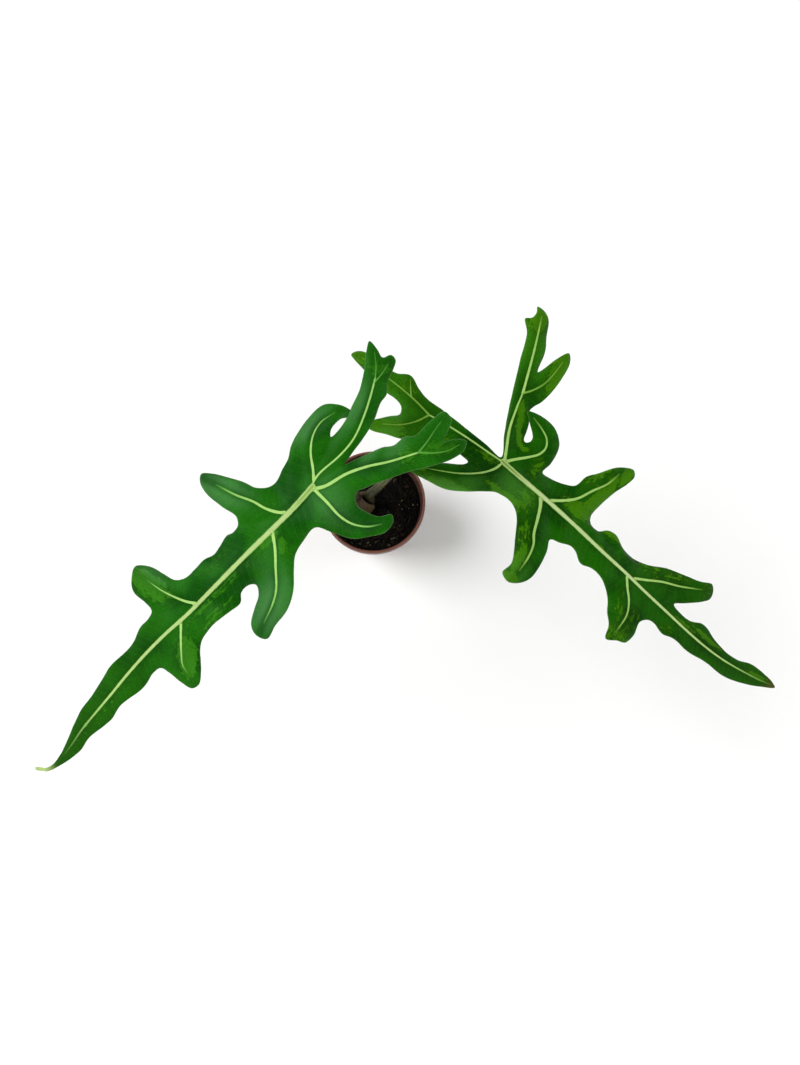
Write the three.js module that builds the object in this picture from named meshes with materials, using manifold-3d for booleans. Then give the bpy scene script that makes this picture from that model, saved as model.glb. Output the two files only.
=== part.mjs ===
// A young lobed aroid in a small nursery pot: two arrow-shaped blades on tall stalks.
// Millimetres, +Z up. The origin is the centre of the pot's flat foot.
import * as THREE from 'three';
import { mergeVertices } from 'three/addons/utils/BufferGeometryUtils.js';
import Module from 'manifold-3d';

const wasm = await Module();
wasm.setup();

// Driving dimensions
const GAP = 0.3;

const POT = {
  height: 62, rimRadius: 35, lipDepth: 7, lipWidth: 1.7, lipRound: 0.9, footRadius: 24, footRound: 0.8,
  wall: 1.1, sides: 48,
};
// The underside has a raised ring round a flat boss, with the drain holes in the ring
const DRAIN = {
  bossRadius: 8, ringInner: 9, ringOuter: 18.5, rise: 1.6, holes: 6, holeRadius: 2.8, holeCircle: 13.7,
  holeSides: 12,
};

const SOIL = { top: 53, crown: 1.2, chamfer: 0.5, rings: 9, lump: 0.7, lumpSize: 7.4, swellSize: 14 };

const STEM = {
  x: -7, y: 0.5, radius: 7.2, foot: 24, footRadius: 5, footRise: 3, top: 62, crown: 0.8,
  scarPitch: 3.2, scarDepth: 0.35, sides: 24,
};

const SHEATH = {
  inner: 7.9, wall: 0.9, low: 55.2, shoulder: 6, high: 80, fromDeg: 196, toDeg: 342, flare: 1.6, point: 0.8,
};

const PETIOLE = {
  baseRadius: 3.3, topRadius: 1.9, swell: 0.5, swellStart: 0.94, upright: 13, sides: 12, steps: 34,
};

const BLADE = {
  thick: 0.9, edgeStep: 3.4, veinStep: 5.5, gridStep: 6.5, leastRoom: 0.8, gridRoom: 2.6,
  rib: 1.4, ribSpread: 1.5, ribFoot: 0.3, ribCrown: 0.15, waveStart: 2, waveFull: 11, waveSkew: 0.35,
};

// Each blade lies in its own frame: x across, y from the stalk along the midrib, z off its face.
const LEFT = {
  joint: [-19.1, -37.5, 262], heading: -137.9, pitch: 11.5,
  tipDroop: 38, tipReach: 180, rearDroop: 16, rearReach: 75,
  sideDroop: 9, sideReach: 60, fold: 12, foldWidth: 9,
  wave: 1.5, waveLength: 31, wavePhase: 0.6,
};

const RIGHT = {
  joint: [64.8, -15.8, 230], heading: -34.5, pitch: 11.9,
  tipDroop: 34, tipReach: 182, rearDroop: 20, rearReach: 85,
  sideDroop: 9, sideReach: 60, fold: 12, foldWidth: 9,
  wave: 1.7, waveLength: 27, wavePhase: 2.1,
};

// Margin of the left blade, lobe by lobe, anticlockwise seen from above
LEFT.margin = [
  // rear lobe on the +x side, forked at its end
  [-2.3, -17], [-0.9, -22], [0.6, -29], [3, -37], [7.6, -45.5], [8.6, -49.5], [12, -53], [14.5, -58],
  [17.5, -62.4], [20.5, -62.4], [21.8, -59], [26, -59.8], [31.2, -59.8], [28.5, -56], [23, -49.8],
  [17.5, -42.5], [14, -35], [11.6, -30], [10.3, -24], [10.6, -20.3],
  // horn that curls back beside it
  [12.6, -22.5], [13.2, -27], [12.8, -31.5], [15, -33.2], [19.5, -31], [22.6, -27], [23, -20],
  [21.3, -12], [18.8, -5.5], [15.8, -1], [14.5, 5], [13, 10],
  // first and second side lobes on the +x side
  [13.6, 13.5], [17, 17.5], [22, 19.5], [28, 23], [34, 27], [38, 31.3], [35.3, 34.3], [29, 35],
  [21, 33.7], [13.5, 32], [10.6, 34.5], [10.3, 38], [11.8, 41.5], [10.8, 47], [10, 51.5], [11.2, 56],
  [10.8, 62], [11.2, 67.5], [14, 72], [20, 74.3], [26, 76.5], [30.8, 81.5], [28.6, 86], [23.5, 90.3],
  [17, 89.7], [12.4, 90.2], [10.9, 94], [11.1, 101],
  // long end and its thread-like tip
  [9.4, 108], [9, 115], [9.3, 123], [8.5, 134], [7.2, 146], [6, 157], [4, 167], [1.6, 176.5],
  [0.4, 184], [0.6, 193], [3.6, 200.6], [8, 207.5], [7.1, 208.3], [2.3, 202], [-0.9, 195.3],
  [-2.6, 189.5], [-4.7, 180.5], [-6, 170], [-5.2, 162], [-6.8, 149.5], [-7.2, 144], [-6.4, 135],
  [-8.2, 121.5], [-7.2, 110.5],
  // side lobes on the -x side
  [-8.4, 105.5], [-13, 103.2], [-20, 101.5], [-25.2, 99.2], [-26.2, 94.5], [-22.5, 90], [-16, 85.5],
  [-12.8, 81.5], [-12, 73], [-13, 63], [-13.2, 57], [-10.4, 53.5], [-10.4, 48.8], [-13, 45.7],
  [-16.6, 47.6], [-20, 53.5], [-24, 58.5], [-29, 59.6], [-33.2, 57], [-31.6, 50.5], [-30, 41.5],
  [-25.5, 33.5], [-20, 28.7], [-15.4, 24], [-13.2, 17.5], [-13.2, 10],
  // hooked lobe over the pot
  [-20, 5.8], [-27.5, 1.5], [-31.5, -3.8], [-35.2, -11], [-33.8, -16], [-31.2, -17.3], [-28.6, -13],
  [-24, -10.6], [-18.5, -9.3], [-14.2, -12],
  // rear lobe on the -x side, forked at its end
  [-16, -18], [-19.2, -25.5], [-22.5, -33.5], [-27, -42], [-30.6, -50], [-31.4, -57], [-29, -60.4],
  [-25.6, -58], [-22.8, -53.8], [-20.8, -57.5], [-18, -62], [-13, -62.4], [-12.4, -54],
  [-12.7, -46.2], [-9.8, -43], [-9.7, -37], [-7.2, -33], [-5.6, -27], [-3.4, -20.5],
];

// Veins: half width at the root and at the tip, then the route outwards
LEFT.veins = [
  { from: 1.2, to: 0.3, route: [[0, -1], [-1, 12], [-1, 40], [-1, 62], [-0.8, 78], [0.3, 92], [0.8, 106],
    [0.7, 120], [0.2, 135], [0, 150], [-0.2, 162], [-1, 172], [-1.2, 184], [-0.4, 193]] },
  { from: 0.6, to: 0.25, route: [[0.3, 15], [2, 17], [7, 20], [13, 22], [20, 25.5], [29, 28.8]] },
  { from: 0.6, to: 0.25, route: [[0, 71.5], [3, 74], [8, 76.7], [15, 79.5], [22.5, 81.3]] },
  { from: 0.6, to: 0.25, route: [[-2, 24.5], [-8, 28.5], [-14, 33.5], [-21, 39.5], [-24.5, 45],
    [-27.5, 53]] },
  { from: 0.6, to: 0.25, route: [[-2, 83.5], [-6, 87.5], [-11, 92], [-15, 95], [-19, 95.6]] },
  { from: 0.7, to: 0.25, route: [[-1, -0.5], [-9, -1], [-17.5, -1.2], [-23.5, -3], [-28.5, -6.8],
    [-31.8, -11.8]] },
  { from: 0.8, to: 0.4, route: [[-1, -0.5], [-3.6, -5], [-6, -15], [-9.5, -23], [-14.5, -31.5],
    [-19.6, -42.5]] },
  { from: 0.4, to: 0.2, route: [[-19.6, -42.5], [-24, -47], [-27.2, -52], [-28.4, -57]] },
  { from: 0.4, to: 0.2, route: [[-19.6, -42.5], [-18.6, -48], [-17, -53.5], [-15.8, -58]] },
  { from: 0.8, to: 0.4, route: [[0.5, -0.5], [2, -6], [1.8, -18], [3.2, -27], [7.5, -36.5], [12, -44],
    [16.5, -50.5]] },
  { from: 0.4, to: 0.2, route: [[16.5, -50.5], [20.5, -54.5], [25.5, -58]] },
  { from: 0.4, to: 0.2, route: [[15.5, -49], [16.3, -54], [18, -59]] },
  { from: 0.7, to: 0.25, route: [[1.6, -3], [5, -5.8], [11, -10], [15.5, -15.5], [17.4, -21.5],
    [16.6, -28.5]] },
];

// Margin of the right blade
RIGHT.margin = [
  // rear lobe on the +x side, beside the sinus, with a side lobe
  [-0.3, -0.4], [-0.9, -9], [-1.6, -20], [-2.8, -34], [-3, -43], [-5.2, -49.3], [-8.3, -56], [-5.8, -62.5],
  [-6.6, -70], [-7.2, -78.5], [-6, -82.8], [-3, -84.6], [-1.2, -81.5], [0.5, -76], [3.5, -68],
  [4.8, -60], [5, -55.6], [6.6, -51], [10, -49.6], [13.5, -52.8], [19, -57.6], [22.8, -61.3],
  [24, -56], [21.7, -48.7], [19.3, -42], [15, -37], [11.6, -30.5], [10.2, -23], [9.7, -15.5],
  // inner lobe that runs back over the pot
  [10.7, -11.8], [12.9, -12.8], [17, -19.2], [21, -25], [25, -31], [28, -34.5], [30, -31], [29.2, -22],
  [27.8, -13.3], [23.5, -5.8], [17.5, 2], [13.8, 8],
  // side lobes on the +x side
  [14, 15.5], [17.5, 20.7], [24.5, 25.5], [31, 29], [37.5, 31.2], [43.2, 30.2], [45.2, 34.6],
  [41.8, 40.2], [36, 43.2], [24, 42.5], [17, 40.8], [15.5, 45.5], [13.3, 51.5], [13.8, 55.5],
  [16.4, 61], [15.3, 66.8], [18.3, 77], [22.5, 82.8], [28.5, 86], [32.5, 88.8], [38.4, 91.2],
  [35.8, 97], [33.2, 102.8], [27.3, 104.5], [21.8, 102.4],
  // long end
  [17.6, 106.5], [16.6, 111.5], [18.2, 118], [17, 123.5], [17, 134], [15.2, 147], [14.8, 157.5],
  [13, 168], [9, 180], [4, 191], [-1.2, 200.3], [-2.3, 195.5], [-2.3, 186], [-0.8, 175], [2, 167.5],
  [3.5, 158], [2.9, 150.5], [0.6, 141], [1, 134.5], [4, 127.5], [4, 120], [2.7, 115],
  // side lobes on the -x side
  [-1.5, 120], [-8.5, 128.7], [-12.2, 132], [-16.4, 131], [-18.2, 128], [-14.4, 119.5], [-11.2, 108],
  [-8.5, 100], [-3.6, 90], [-2.2, 81], [-2.4, 73.5], [-4.8, 67.5], [-4.4, 63], [-1.2, 59],
  [-1.6, 54.3], [-5, 52.2], [-12.5, 52.9], [-20, 54.5], [-27.5, 57.3], [-32, 58.1], [-34.4, 56],
  [-33.2, 52.2], [-29.5, 47.5], [-22.5, 42.3], [-17.5, 38.3], [-11, 36.4], [-8.7, 32], [-7.3, 25],
  [-6.8, 20],
  // curled lobe
  [-12, 20.9], [-18.5, 20.5], [-22.5, 18.8], [-25.6, 14.5], [-27, 9], [-26.4, 3.5], [-24.4, -0.6],
  [-22.2, 1.9], [-20.3, 3.7], [-17.6, 6], [-14.4, 6.7], [-13, 5.2],
  // rear lobe on the -x side, with a side lobe
  [-13.6, 3.9], [-17.5, 2.6], [-21.3, 0.9], [-24.6, -1.7], [-28.5, -1.4], [-32, 0.2], [-39, 1.6],
  [-48, 2], [-56.5, 1], [-60.2, -1.8], [-54, -5.3], [-46.5, -7.6], [-43.2, -9.1], [-46, -10],
  [-53, -11.3], [-60, -14.7], [-67.5, -18.2], [-70.8, -22.5], [-70.9, -26.4], [-67.5, -25.3],
  [-64.2, -25.6], [-62, -28.1], [-59.6, -26.3], [-56, -23.5], [-43, -19], [-30, -14.2], [-20, -10.2],
  [-10, -5.4],
];

RIGHT.veins = [
  { from: 1.2, to: 0.3, route: [[1.2, 1], [2, 10], [2.9, 25], [4.3, 45], [6, 65], [7, 82], [8, 95],
    [8.8, 112], [9.4, 128], [9.3, 142], [8.3, 155], [6.6, 166], [4, 179], [1.8, 188], [-0.3, 196]] },
  { from: 0.7, to: 0.25, route: [[1.5, 1.5], [5.5, 0.4], [10, -2.6], [14.4, -7.2], [18.5, -13], [22, -19.5],
    [25.5, -27]] },
  { from: 0.6, to: 0.25, route: [[3.5, 25], [7, 27.5], [13, 29.8], [20, 32.2], [24, 34.7], [30, 36],
    [38, 36]] },
  { from: 0.6, to: 0.25, route: [[7.5, 83], [12, 86.5], [17, 91], [23, 93.8], [33, 93.6]] },
  { from: 0.6, to: 0.25, route: [[2, 30.5], [-2, 36], [-6.5, 40.6], [-14, 44.7], [-21, 48.8], [-28, 50.8]] },
  { from: 0.6, to: 0.25, route: [[7, 86], [3, 93.5], [-1.5, 101.5], [-5.5, 111], [-11.5, 122.5]] },
  { from: 0.7, to: 0.25, route: [[0.8, 2], [-3, 5.3], [-8, 10.2], [-12, 13.4], [-16, 14.2], [-19.5, 12.2],
    [-22, 8], [-23.6, 3.4]] },
  { from: 0.8, to: 0.4, route: [[0.8, 2], [-5, -0.8], [-13, -4.8], [-22, -7.6], [-30, -9.4]] },
  { from: 0.6, to: 0.25, route: [[-30, -9.4], [-40, -12.8], [-50, -16.2], [-60, -19.8], [-67, -22.3]] },
  { from: 0.5, to: 0.2, route: [[-30, -9.4], [-34, -6.4], [-40, -3.6], [-47, -2.5], [-54, -2.2]] },
  { from: 0.8, to: 0.4, route: [[1.3, 1.5], [1.7, -8], [1.9, -20], [2.5, -31], [3.1, -38.5]] },
  { from: 0.5, to: 0.2, route: [[3.1, -38.5], [1, -47], [-0.8, -58], [-1.8, -68], [-3.6, -79]] },
  { from: 0.5, to: 0.2, route: [[3.1, -38.5], [9, -41.6], [14.5, -46.5], [19, -53.5]] },
];

// Stalk routes from the stem's top to the underside of each blade
LEFT.stalk = [
  [-10.6, 0.6, 62.3], [-10.7, 0.5, 70], [-12.4, -2, 108], [-15.6, -12, 160], [-17.6, -24.5, 212],
];
RIGHT.stalk = [
  [-3.5, 1.4, 62.3], [-3.1, 2, 70], [4.2, 4.4, 87], [16, 8.2, 118], [28, 3.8, 150], [38, -4.8, 173],
  [49, -12.8, 194],
];
LEFT.foot = [0, 0.6];
RIGHT.foot = [2.4, 3.4];

// Closed solids as Three.js geometries
function welded(geometry) {
  const bare = geometry.clone();
  bare.deleteAttribute('normal');
  bare.deleteAttribute('uv');
  const merged = mergeVertices(bare, 1e-4);
  const index = merged.index.array;
  const kept = [];
  for (let i = 0; i < index.length; i += 3) {
    const [a, b, c] = [index[i], index[i + 1], index[i + 2]];
    if (a !== b && b !== c && c !== a) kept.push(a, b, c);
  }
  merged.setIndex(kept);
  merged.computeVertexNormals();
  return merged;
}

function toSolid(geometry) {
  const mesh = welded(geometry);
  const vertProperties = new Float32Array(mesh.attributes.position.array);
  const triVerts = new Uint32Array(mesh.index.array);
  return new wasm.Manifold(new wasm.Mesh({ numProp: 3, vertProperties, triVerts }));
}

function fromSolid(solid) {
  const mesh = solid.getMesh();
  const geometry = new THREE.BufferGeometry();
  geometry.setAttribute('position', new THREE.BufferAttribute(new Float32Array(mesh.vertProperties), 3));
  geometry.setIndex([...mesh.triVerts]);
  geometry.computeVertexNormals();
  return geometry;
}

function moveVertices(geometry, change) {
  const position = geometry.attributes.position;
  const point = new THREE.Vector3();
  for (let i = 0; i < position.count; i += 1) {
    point.fromBufferAttribute(position, i);
    change(point);
    position.setXYZ(i, point.x, point.y, point.z);
  }
  return geometry;
}

// Lathe about +Z; a profile is a list of [radius, height]
function turned(profile, sides) {
  const points = profile.map(([radius, height]) => new THREE.Vector2(radius, height));
  return new THREE.LatheGeometry(points, sides).rotateX(Math.PI / 2);
}

function uprightCylinder(radius, low, high, sides, x, y) {
  const geometry = new THREE.CylinderGeometry(radius, radius, high - low, sides);
  return geometry.rotateX(Math.PI / 2).translate(x, y, (low + high) / 2);
}

// A closed tube along a route, with a radius that changes from root to end
function taperedTube(route, sides, steps, radiusAt) {
  const curve = new THREE.CatmullRomCurve3(route.map((p) => new THREE.Vector3(...p)));
  const frames = curve.computeFrenetFrames(steps, false);
  const rings = frames.tangents.map((_, i) => curve.getPointAt(i / steps));
  return moveVertices(new THREE.CylinderGeometry(1, 1, 1, sides, steps), (p) => {
    const i = Math.round((p.y + 0.5) * steps);
    const radius = radiusAt(i / steps);
    const [across, aside] = [p.x * radius, p.z * radius];
    p.copy(rings[i]).addScaledVector(frames.normals[i], aside).addScaledVector(frames.binormals[i], across);
  });
}

// Plane geometry of a blade
function flatCurve(corners, closed) {
  const points = corners.map(([x, y]) => new THREE.Vector3(x, y, 0));
  return new THREE.CatmullRomCurve3(points, closed, 'centripetal');
}

function smoothMargin(corners, step) {
  const curve = flatCurve(corners, true);
  const points = [];
  corners.forEach(([x, y], i) => {
    const [nextX, nextY] = corners[(i + 1) % corners.length];
    const pieces = Math.max(1, Math.round(Math.hypot(nextX - x, nextY - y) / step));
    for (let k = 0; k < pieces; k += 1) {
      const p = curve.getPoint((i + k / pieces) / corners.length);
      points.push(new THREE.Vector2(p.x, p.y));
    }
  });
  return points;
}

// Each vein becomes a chain of points that carry their half width
function veinChains(veins, step) {
  return veins.map(({ from, to, route }) => {
    const curve = flatCurve(route, false);
    const pieces = Math.max(2, Math.round(curve.getLength() / step));
    const halfAt = (i) => THREE.MathUtils.lerp(from, to, i / pieces);
    return curve.getSpacedPoints(pieces).map(({ x, y }, i) => ({ x, y, half: halfAt(i) }));
  });
}

function nearestVein(x, y, chains) {
  let best = { distance: Infinity, half: 0 };
  for (const chain of chains) {
    for (let i = 1; i < chain.length; i += 1) {
      const [a, b] = [chain[i - 1], chain[i]];
      const [ux, uy] = [b.x - a.x, b.y - a.y];
      const t = THREE.MathUtils.clamp(((x - a.x) * ux + (y - a.y) * uy) / (ux * ux + uy * uy), 0, 1);
      const distance = Math.hypot(x - a.x - t * ux, y - a.y - t * uy);
      if (distance < best.distance) best = { distance, half: a.half + (b.half - a.half) * t };
    }
  }
  return best;
}

function isInside(x, y, polygon) {
  let inside = false;
  polygon.forEach((a, i) => {
    const b = polygon[(i + 1) % polygon.length];
    if ((a.y > y) !== (b.y > y) && x < ((b.x - a.x) * (y - a.y)) / (b.y - a.y) + a.x) inside = !inside;
  });
  return inside;
}

function edgeDistance(x, y, polygon) {
  let best = Infinity;
  polygon.forEach((a, i) => {
    const b = polygon[(i + 1) % polygon.length];
    const [ux, uy] = [b.x - a.x, b.y - a.y];
    const t = THREE.MathUtils.clamp(((x - a.x) * ux + (y - a.y) * uy) / (ux * ux + uy * uy), 0, 1);
    best = Math.min(best, Math.hypot(x - a.x - t * ux, y - a.y - t * uy));
  });
  return best;
}

// Distance from a vein's middle to the foot of its rib
function ribReach(half) {
  return half * BLADE.ribSpread + BLADE.ribFoot;
}

// Points inside the margin: along each vein, on both flanks of its rib, then an even grid
function innerPoints(margin, chains) {
  const points = [];
  const offer = (x, y, room) => {
    if (!isInside(x, y, margin) || edgeDistance(x, y, margin) < room) return;
    if (points.every((p) => Math.hypot(p.x - x, p.y - y) > room)) points.push(new THREE.Vector2(x, y));
  };
  chains.forEach((chain) => chain.forEach((p) => offer(p.x, p.y, BLADE.leastRoom)));
  chains.forEach((chain) => chain.slice(1).forEach((p, i) => {
    const [ux, uy] = [p.x - chain[i].x, p.y - chain[i].y];
    const reach = ribReach(p.half) / Math.hypot(ux, uy);
    const [mx, my] = [(p.x + chain[i].x) / 2, (p.y + chain[i].y) / 2];
    offer(mx - uy * reach, my + ux * reach, BLADE.leastRoom);
    offer(mx + uy * reach, my - ux * reach, BLADE.leastRoom);
  }));
  const box = new THREE.Box2().setFromPoints(margin);
  const rowStep = BLADE.gridStep * Math.sqrt(0.75);
  for (let row = 0, y = box.min.y; y < box.max.y; row += 1, y += rowStep) {
    for (let x = box.min.x + (row % 2) * BLADE.gridStep / 2; x < box.max.x; x += BLADE.gridStep) {
      offer(x, y, BLADE.gridRoom);
    }
  }
  return points;
}

// Triangulates the outline, then adds the inner points one by one and turns edges until the mesh is even
function triangulate(outline, inner) {
  const points = [...outline, ...inner];
  const third = new Map();
  const key = (a, b) => a * points.length + b;
  const turn = (a, b, c) => (b.x - a.x) * (c.y - a.y) - (b.y - a.y) * (c.x - a.x);
  const add = (a, b, c) => {
    third.set(key(a, b), c);
    third.set(key(b, c), a);
    third.set(key(c, a), b);
  };
  const remove = (a, b, c) => [key(a, b), key(b, c), key(c, a)].forEach((k) => third.delete(k));
  const settle = (a, b) => {
    const [c, d] = [third.get(key(a, b)), third.get(key(b, a))];
    if (c === undefined || d === undefined) return;
    if (!inCircle(points[a], points[b], points[c], points[d])) return;
    remove(a, b, c);
    remove(b, a, d);
    add(c, a, d);
    add(d, b, c);
    [[a, d], [d, b], [b, c], [c, a]].forEach(([from, to]) => settle(from, to));
  };
  THREE.ShapeUtils.triangulateShape(outline, []).forEach(([a, b, c]) => {
    if (turn(points[a], points[b], points[c]) > 0) add(a, b, c);
    else add(a, c, b);
  });
  [...third.keys()].forEach((k) => settle(Math.floor(k / points.length), k % points.length));
  for (let p = outline.length; p < points.length; p += 1) {
    for (const [k, c] of third) {
      const [a, b] = [Math.floor(k / points.length), k % points.length];
      const [pa, pb, pc] = [points[a], points[b], points[c]];
      if (turn(pa, pb, points[p]) > 0 && turn(pb, pc, points[p]) > 0 && turn(pc, pa, points[p]) > 0) {
        remove(a, b, c);
        [[a, b], [b, c], [c, a]].forEach(([from, to]) => add(from, to, p));
        [[a, b], [b, c], [c, a]].forEach(([from, to]) => settle(from, to));
        break;
      }
    }
  }
  return [...third].map(([k, c]) => [Math.floor(k / points.length), k % points.length, c])
    .filter(([a, b, c]) => a < b && a < c);
}

function inCircle(a, b, c, d) {
  const [ax, ay, bx, by] = [a.x - d.x, a.y - d.y, b.x - d.x, b.y - d.y];
  const [cx, cy] = [c.x - d.x, c.y - d.y];
  const [aa, bb, cc] = [ax * ax + ay * ay, bx * bx + by * by, cx * cx + cy * cy];
  return ax * (by * cc - bb * cy) - ay * (bx * cc - bb * cx) + aa * (bx * cy - by * cx) > 1e-7;
}

// Height of a blade's upper face over its own plane
function bladeArch(leaf, x, y) {
  const tip = leaf.tipDroop * (Math.max(y, 0) / leaf.tipReach) ** 2;
  const rear = leaf.rearDroop * (Math.max(-y, 0) / leaf.rearReach) ** 2;
  const side = leaf.sideDroop * (x / leaf.sideReach) ** 2;
  const fold = (leaf.fold * (Math.hypot(x, leaf.foldWidth) - leaf.foldWidth)) / leaf.sideReach;
  return fold - tip - rear - side;
}

function edgeWave(leaf, x, y, veinDistance) {
  const free = THREE.MathUtils.smoothstep(veinDistance, BLADE.waveStart, BLADE.waveFull);
  const along = y + BLADE.waveSkew * Math.abs(x);
  const phase = (2 * Math.PI * along) / leaf.waveLength + leaf.wavePhase * Math.sign(x);
  return leaf.wave * free * Math.sin(phase);
}

function bladeGeometry(leaf) {
  const margin = smoothMargin(leaf.margin, BLADE.edgeStep);
  const chains = veinChains(leaf.veins, BLADE.veinStep);
  const inner = innerPoints(margin, chains);
  const plan = [...margin, ...inner];
  const faces = triangulate(margin, inner);
  const count = plan.length;
  const upper = [];
  const lower = [];
  plan.forEach(({ x, y }) => {
    const { distance, half } = nearestVein(x, y, chains);
    const z = bladeArch(leaf, x, y) + edgeWave(leaf, x, y, distance);
    const rib = BLADE.rib * half * Math.max(0, 1 - (distance / ribReach(half)) ** 2);
    upper.push(x, y, z + BLADE.ribCrown * rib);
    lower.push(x, y, z - BLADE.thick - rib);
  });
  const index = faces.flatMap(([a, b, c]) => [a, b, c, a + count, c + count, b + count]);
  margin.forEach((_, i) => {
    const next = (i + 1) % margin.length;
    index.push(i, i + count, next + count, i, next + count, next);
  });
  const geometry = new THREE.BufferGeometry();
  geometry.setAttribute('position', new THREE.Float32BufferAttribute([...upper, ...lower], 3));
  geometry.setIndex(index);
  geometry.computeVertexNormals();
  return geometry;
}

// Turns the blade's plan into its place over the pot
function bladeMatrix(leaf) {
  const radians = THREE.MathUtils.degToRad;
  const turnedBy = new THREE.Euler(-radians(leaf.pitch), 0, radians(leaf.heading - 90), 'ZXY');
  return new THREE.Matrix4().makeRotationFromEuler(turnedBy).setPosition(...leaf.joint);
}

// The stalk ends square to the blade, just under its midrib
function stalkRoute(leaf) {
  const [x, y] = leaf.foot;
  const under = bladeArch(leaf, x, y) - BLADE.thick - BLADE.rib * leaf.veins[0].from - GAP;
  const ends = [under - PETIOLE.upright, under].map((z) => new THREE.Vector3(x, y, z));
  return [...leaf.stalk, ...ends.map((p) => p.applyMatrix4(bladeMatrix(leaf)).toArray())];
}

function stalkGeometry(leaf) {
  return taperedTube(stalkRoute(leaf), PETIOLE.sides, PETIOLE.steps, (t) => {
    const taper = THREE.MathUtils.lerp(PETIOLE.baseRadius, PETIOLE.topRadius, Math.sqrt(t));
    return taper + PETIOLE.swell * THREE.MathUtils.smoothstep(t, PETIOLE.swellStart, 1);
  });
}

function wallRadius(z) {
  return POT.footRadius + (POT.rimRadius - POT.lipWidth - POT.footRadius) * (z / (POT.height - POT.lipDepth));
}

function innerRadius(z) {
  return Math.min(wallRadius(z) - POT.wall, POT.rimRadius - POT.lipWidth);
}

function potGeometry() {
  const { height, rimRadius, lipRound, wall, footRadius, footRound } = POT;
  const { bossRadius, ringInner, ringOuter, rise } = DRAIN;
  const lipLow = height - POT.lipDepth;
  const raised = rise + wall;
  const profile = [
    [0, 0], [bossRadius, 0], [ringInner, rise], [ringOuter, rise], [ringOuter + wall, 0],
    [footRadius - footRound, 0], [wallRadius(footRound), footRound], [wallRadius(lipLow), lipLow],
    [rimRadius - 0.2 * lipRound, lipLow + 0.3 * lipRound], [rimRadius, lipLow + lipRound],
    [rimRadius, height - lipRound], [rimRadius - 0.3 * lipRound, height - 0.3 * lipRound],
    [rimRadius - lipRound, height], [rimRadius - 1.5 * lipRound, height - 0.3 * lipRound],
    [innerRadius(height), height - lipRound], [innerRadius(lipLow), lipLow], [innerRadius(wall), wall],
    [ringOuter + 1.2 * wall, wall], [ringOuter + 0.2 * wall, raised], [ringInner - 0.2 * wall, raised],
    [bossRadius - 0.2 * wall, wall], [0, wall],
  ];
  let solid = toSolid(turned(profile, POT.sides));
  for (let i = 0; i < DRAIN.holes; i += 1) {
    const angle = (2 * Math.PI * (i + 0.5)) / DRAIN.holes;
    const [x, y] = [DRAIN.holeCircle * Math.cos(angle), DRAIN.holeCircle * Math.sin(angle)];
    const hole = uprightCylinder(DRAIN.holeRadius, -wall, raised + wall, DRAIN.holeSides, x, y);
    solid = solid.subtract(toSolid(hole));
  }
  return fromSolid(solid);
}

function soilHeight(x, y) {
  const radius = Math.hypot(x, y) / innerRadius(SOIL.top);
  const [small, broad] = [(2 * Math.PI) / SOIL.lumpSize, (2 * Math.PI) / SOIL.swellSize];
  const lumps = Math.sin(small * x + 1.3) * Math.cos(small * y);
  const swells = 0.6 * Math.sin(broad * (0.8 * x - 1.2 * y));
  return SOIL.top + SOIL.crown * (1 - radius ** 2) + SOIL.lump * (lumps + swells) * (1 - radius ** 6);
}

function soilGeometry() {
  const low = DRAIN.rise + POT.wall + GAP;
  const side = (z) => innerRadius(z) - GAP;
  const bevel = SOIL.chamfer;
  const profile = [[0, low], [side(low) - bevel, low], [side(low + bevel), low + bevel]];
  profile.push([side(SOIL.top), SOIL.top]);
  for (let i = SOIL.rings; i >= 0; i -= 1) {
    profile.push([((side(SOIL.top) - bevel) * i) / SOIL.rings, SOIL.top + 2 * bevel]);
  }
  const bed = moveVertices(turned(profile, POT.sides), (p) => {
    if (p.z > SOIL.top + bevel) p.z = soilHeight(p.x, p.y);
  });
  const holeRadius = STEM.radius + STEM.scarDepth + GAP;
  const hole = uprightCylinder(holeRadius, STEM.foot - GAP, STEM.top, STEM.sides, STEM.x, STEM.y);
  return fromSolid(toSolid(bed).subtract(toSolid(hole)));
}

// Leaf scars ring the stem like low steps
function stemGeometry() {
  const profile = [[0, STEM.foot], [STEM.footRadius, STEM.foot]];
  const shoulder = STEM.top - STEM.crown;
  for (let z = STEM.foot + STEM.footRise; z < shoulder; z += STEM.scarPitch / 2) {
    const scar = (profile.length % 2) * STEM.scarDepth;
    profile.push([STEM.radius + scar, z]);
  }
  profile.push([STEM.radius, shoulder], [STEM.radius - STEM.crown, STEM.top], [0, STEM.top]);
  return turned(profile, STEM.sides).translate(STEM.x, STEM.y, 0);
}

// A flat box wrapped round the stem, with a pointed top edge
function sheathGeometry() {
  const radians = THREE.MathUtils.degToRad;
  return moveVertices(new THREE.BoxGeometry(1, 1, 1, 18, 6, 1), (p) => {
    const [around, up] = [p.x + 0.5, p.y + 0.5];
    const angle = radians(THREE.MathUtils.lerp(SHEATH.fromDeg, SHEATH.toDeg, around));
    const crest = Math.sin(Math.PI * around) ** SHEATH.point;
    const tall = SHEATH.high - SHEATH.low;
    const z = SHEATH.low + up * THREE.MathUtils.lerp(SHEATH.shoulder, tall, crest);
    const lean = SHEATH.flare * ((z - SHEATH.low) / tall) ** 2;
    const radius = SHEATH.inner + lean + (p.z + 0.5) * SHEATH.wall;
    p.set(STEM.x + radius * Math.cos(angle), STEM.y + radius * Math.sin(angle), z);
  });
}

function material(color, roughness) {
  return new THREE.MeshStandardMaterial({ color, roughness, metalness: 0 });
}

function named(name, geometry, look) {
  const mesh = new THREE.Mesh(welded(geometry), look);
  mesh.name = name;
  return mesh;
}

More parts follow.
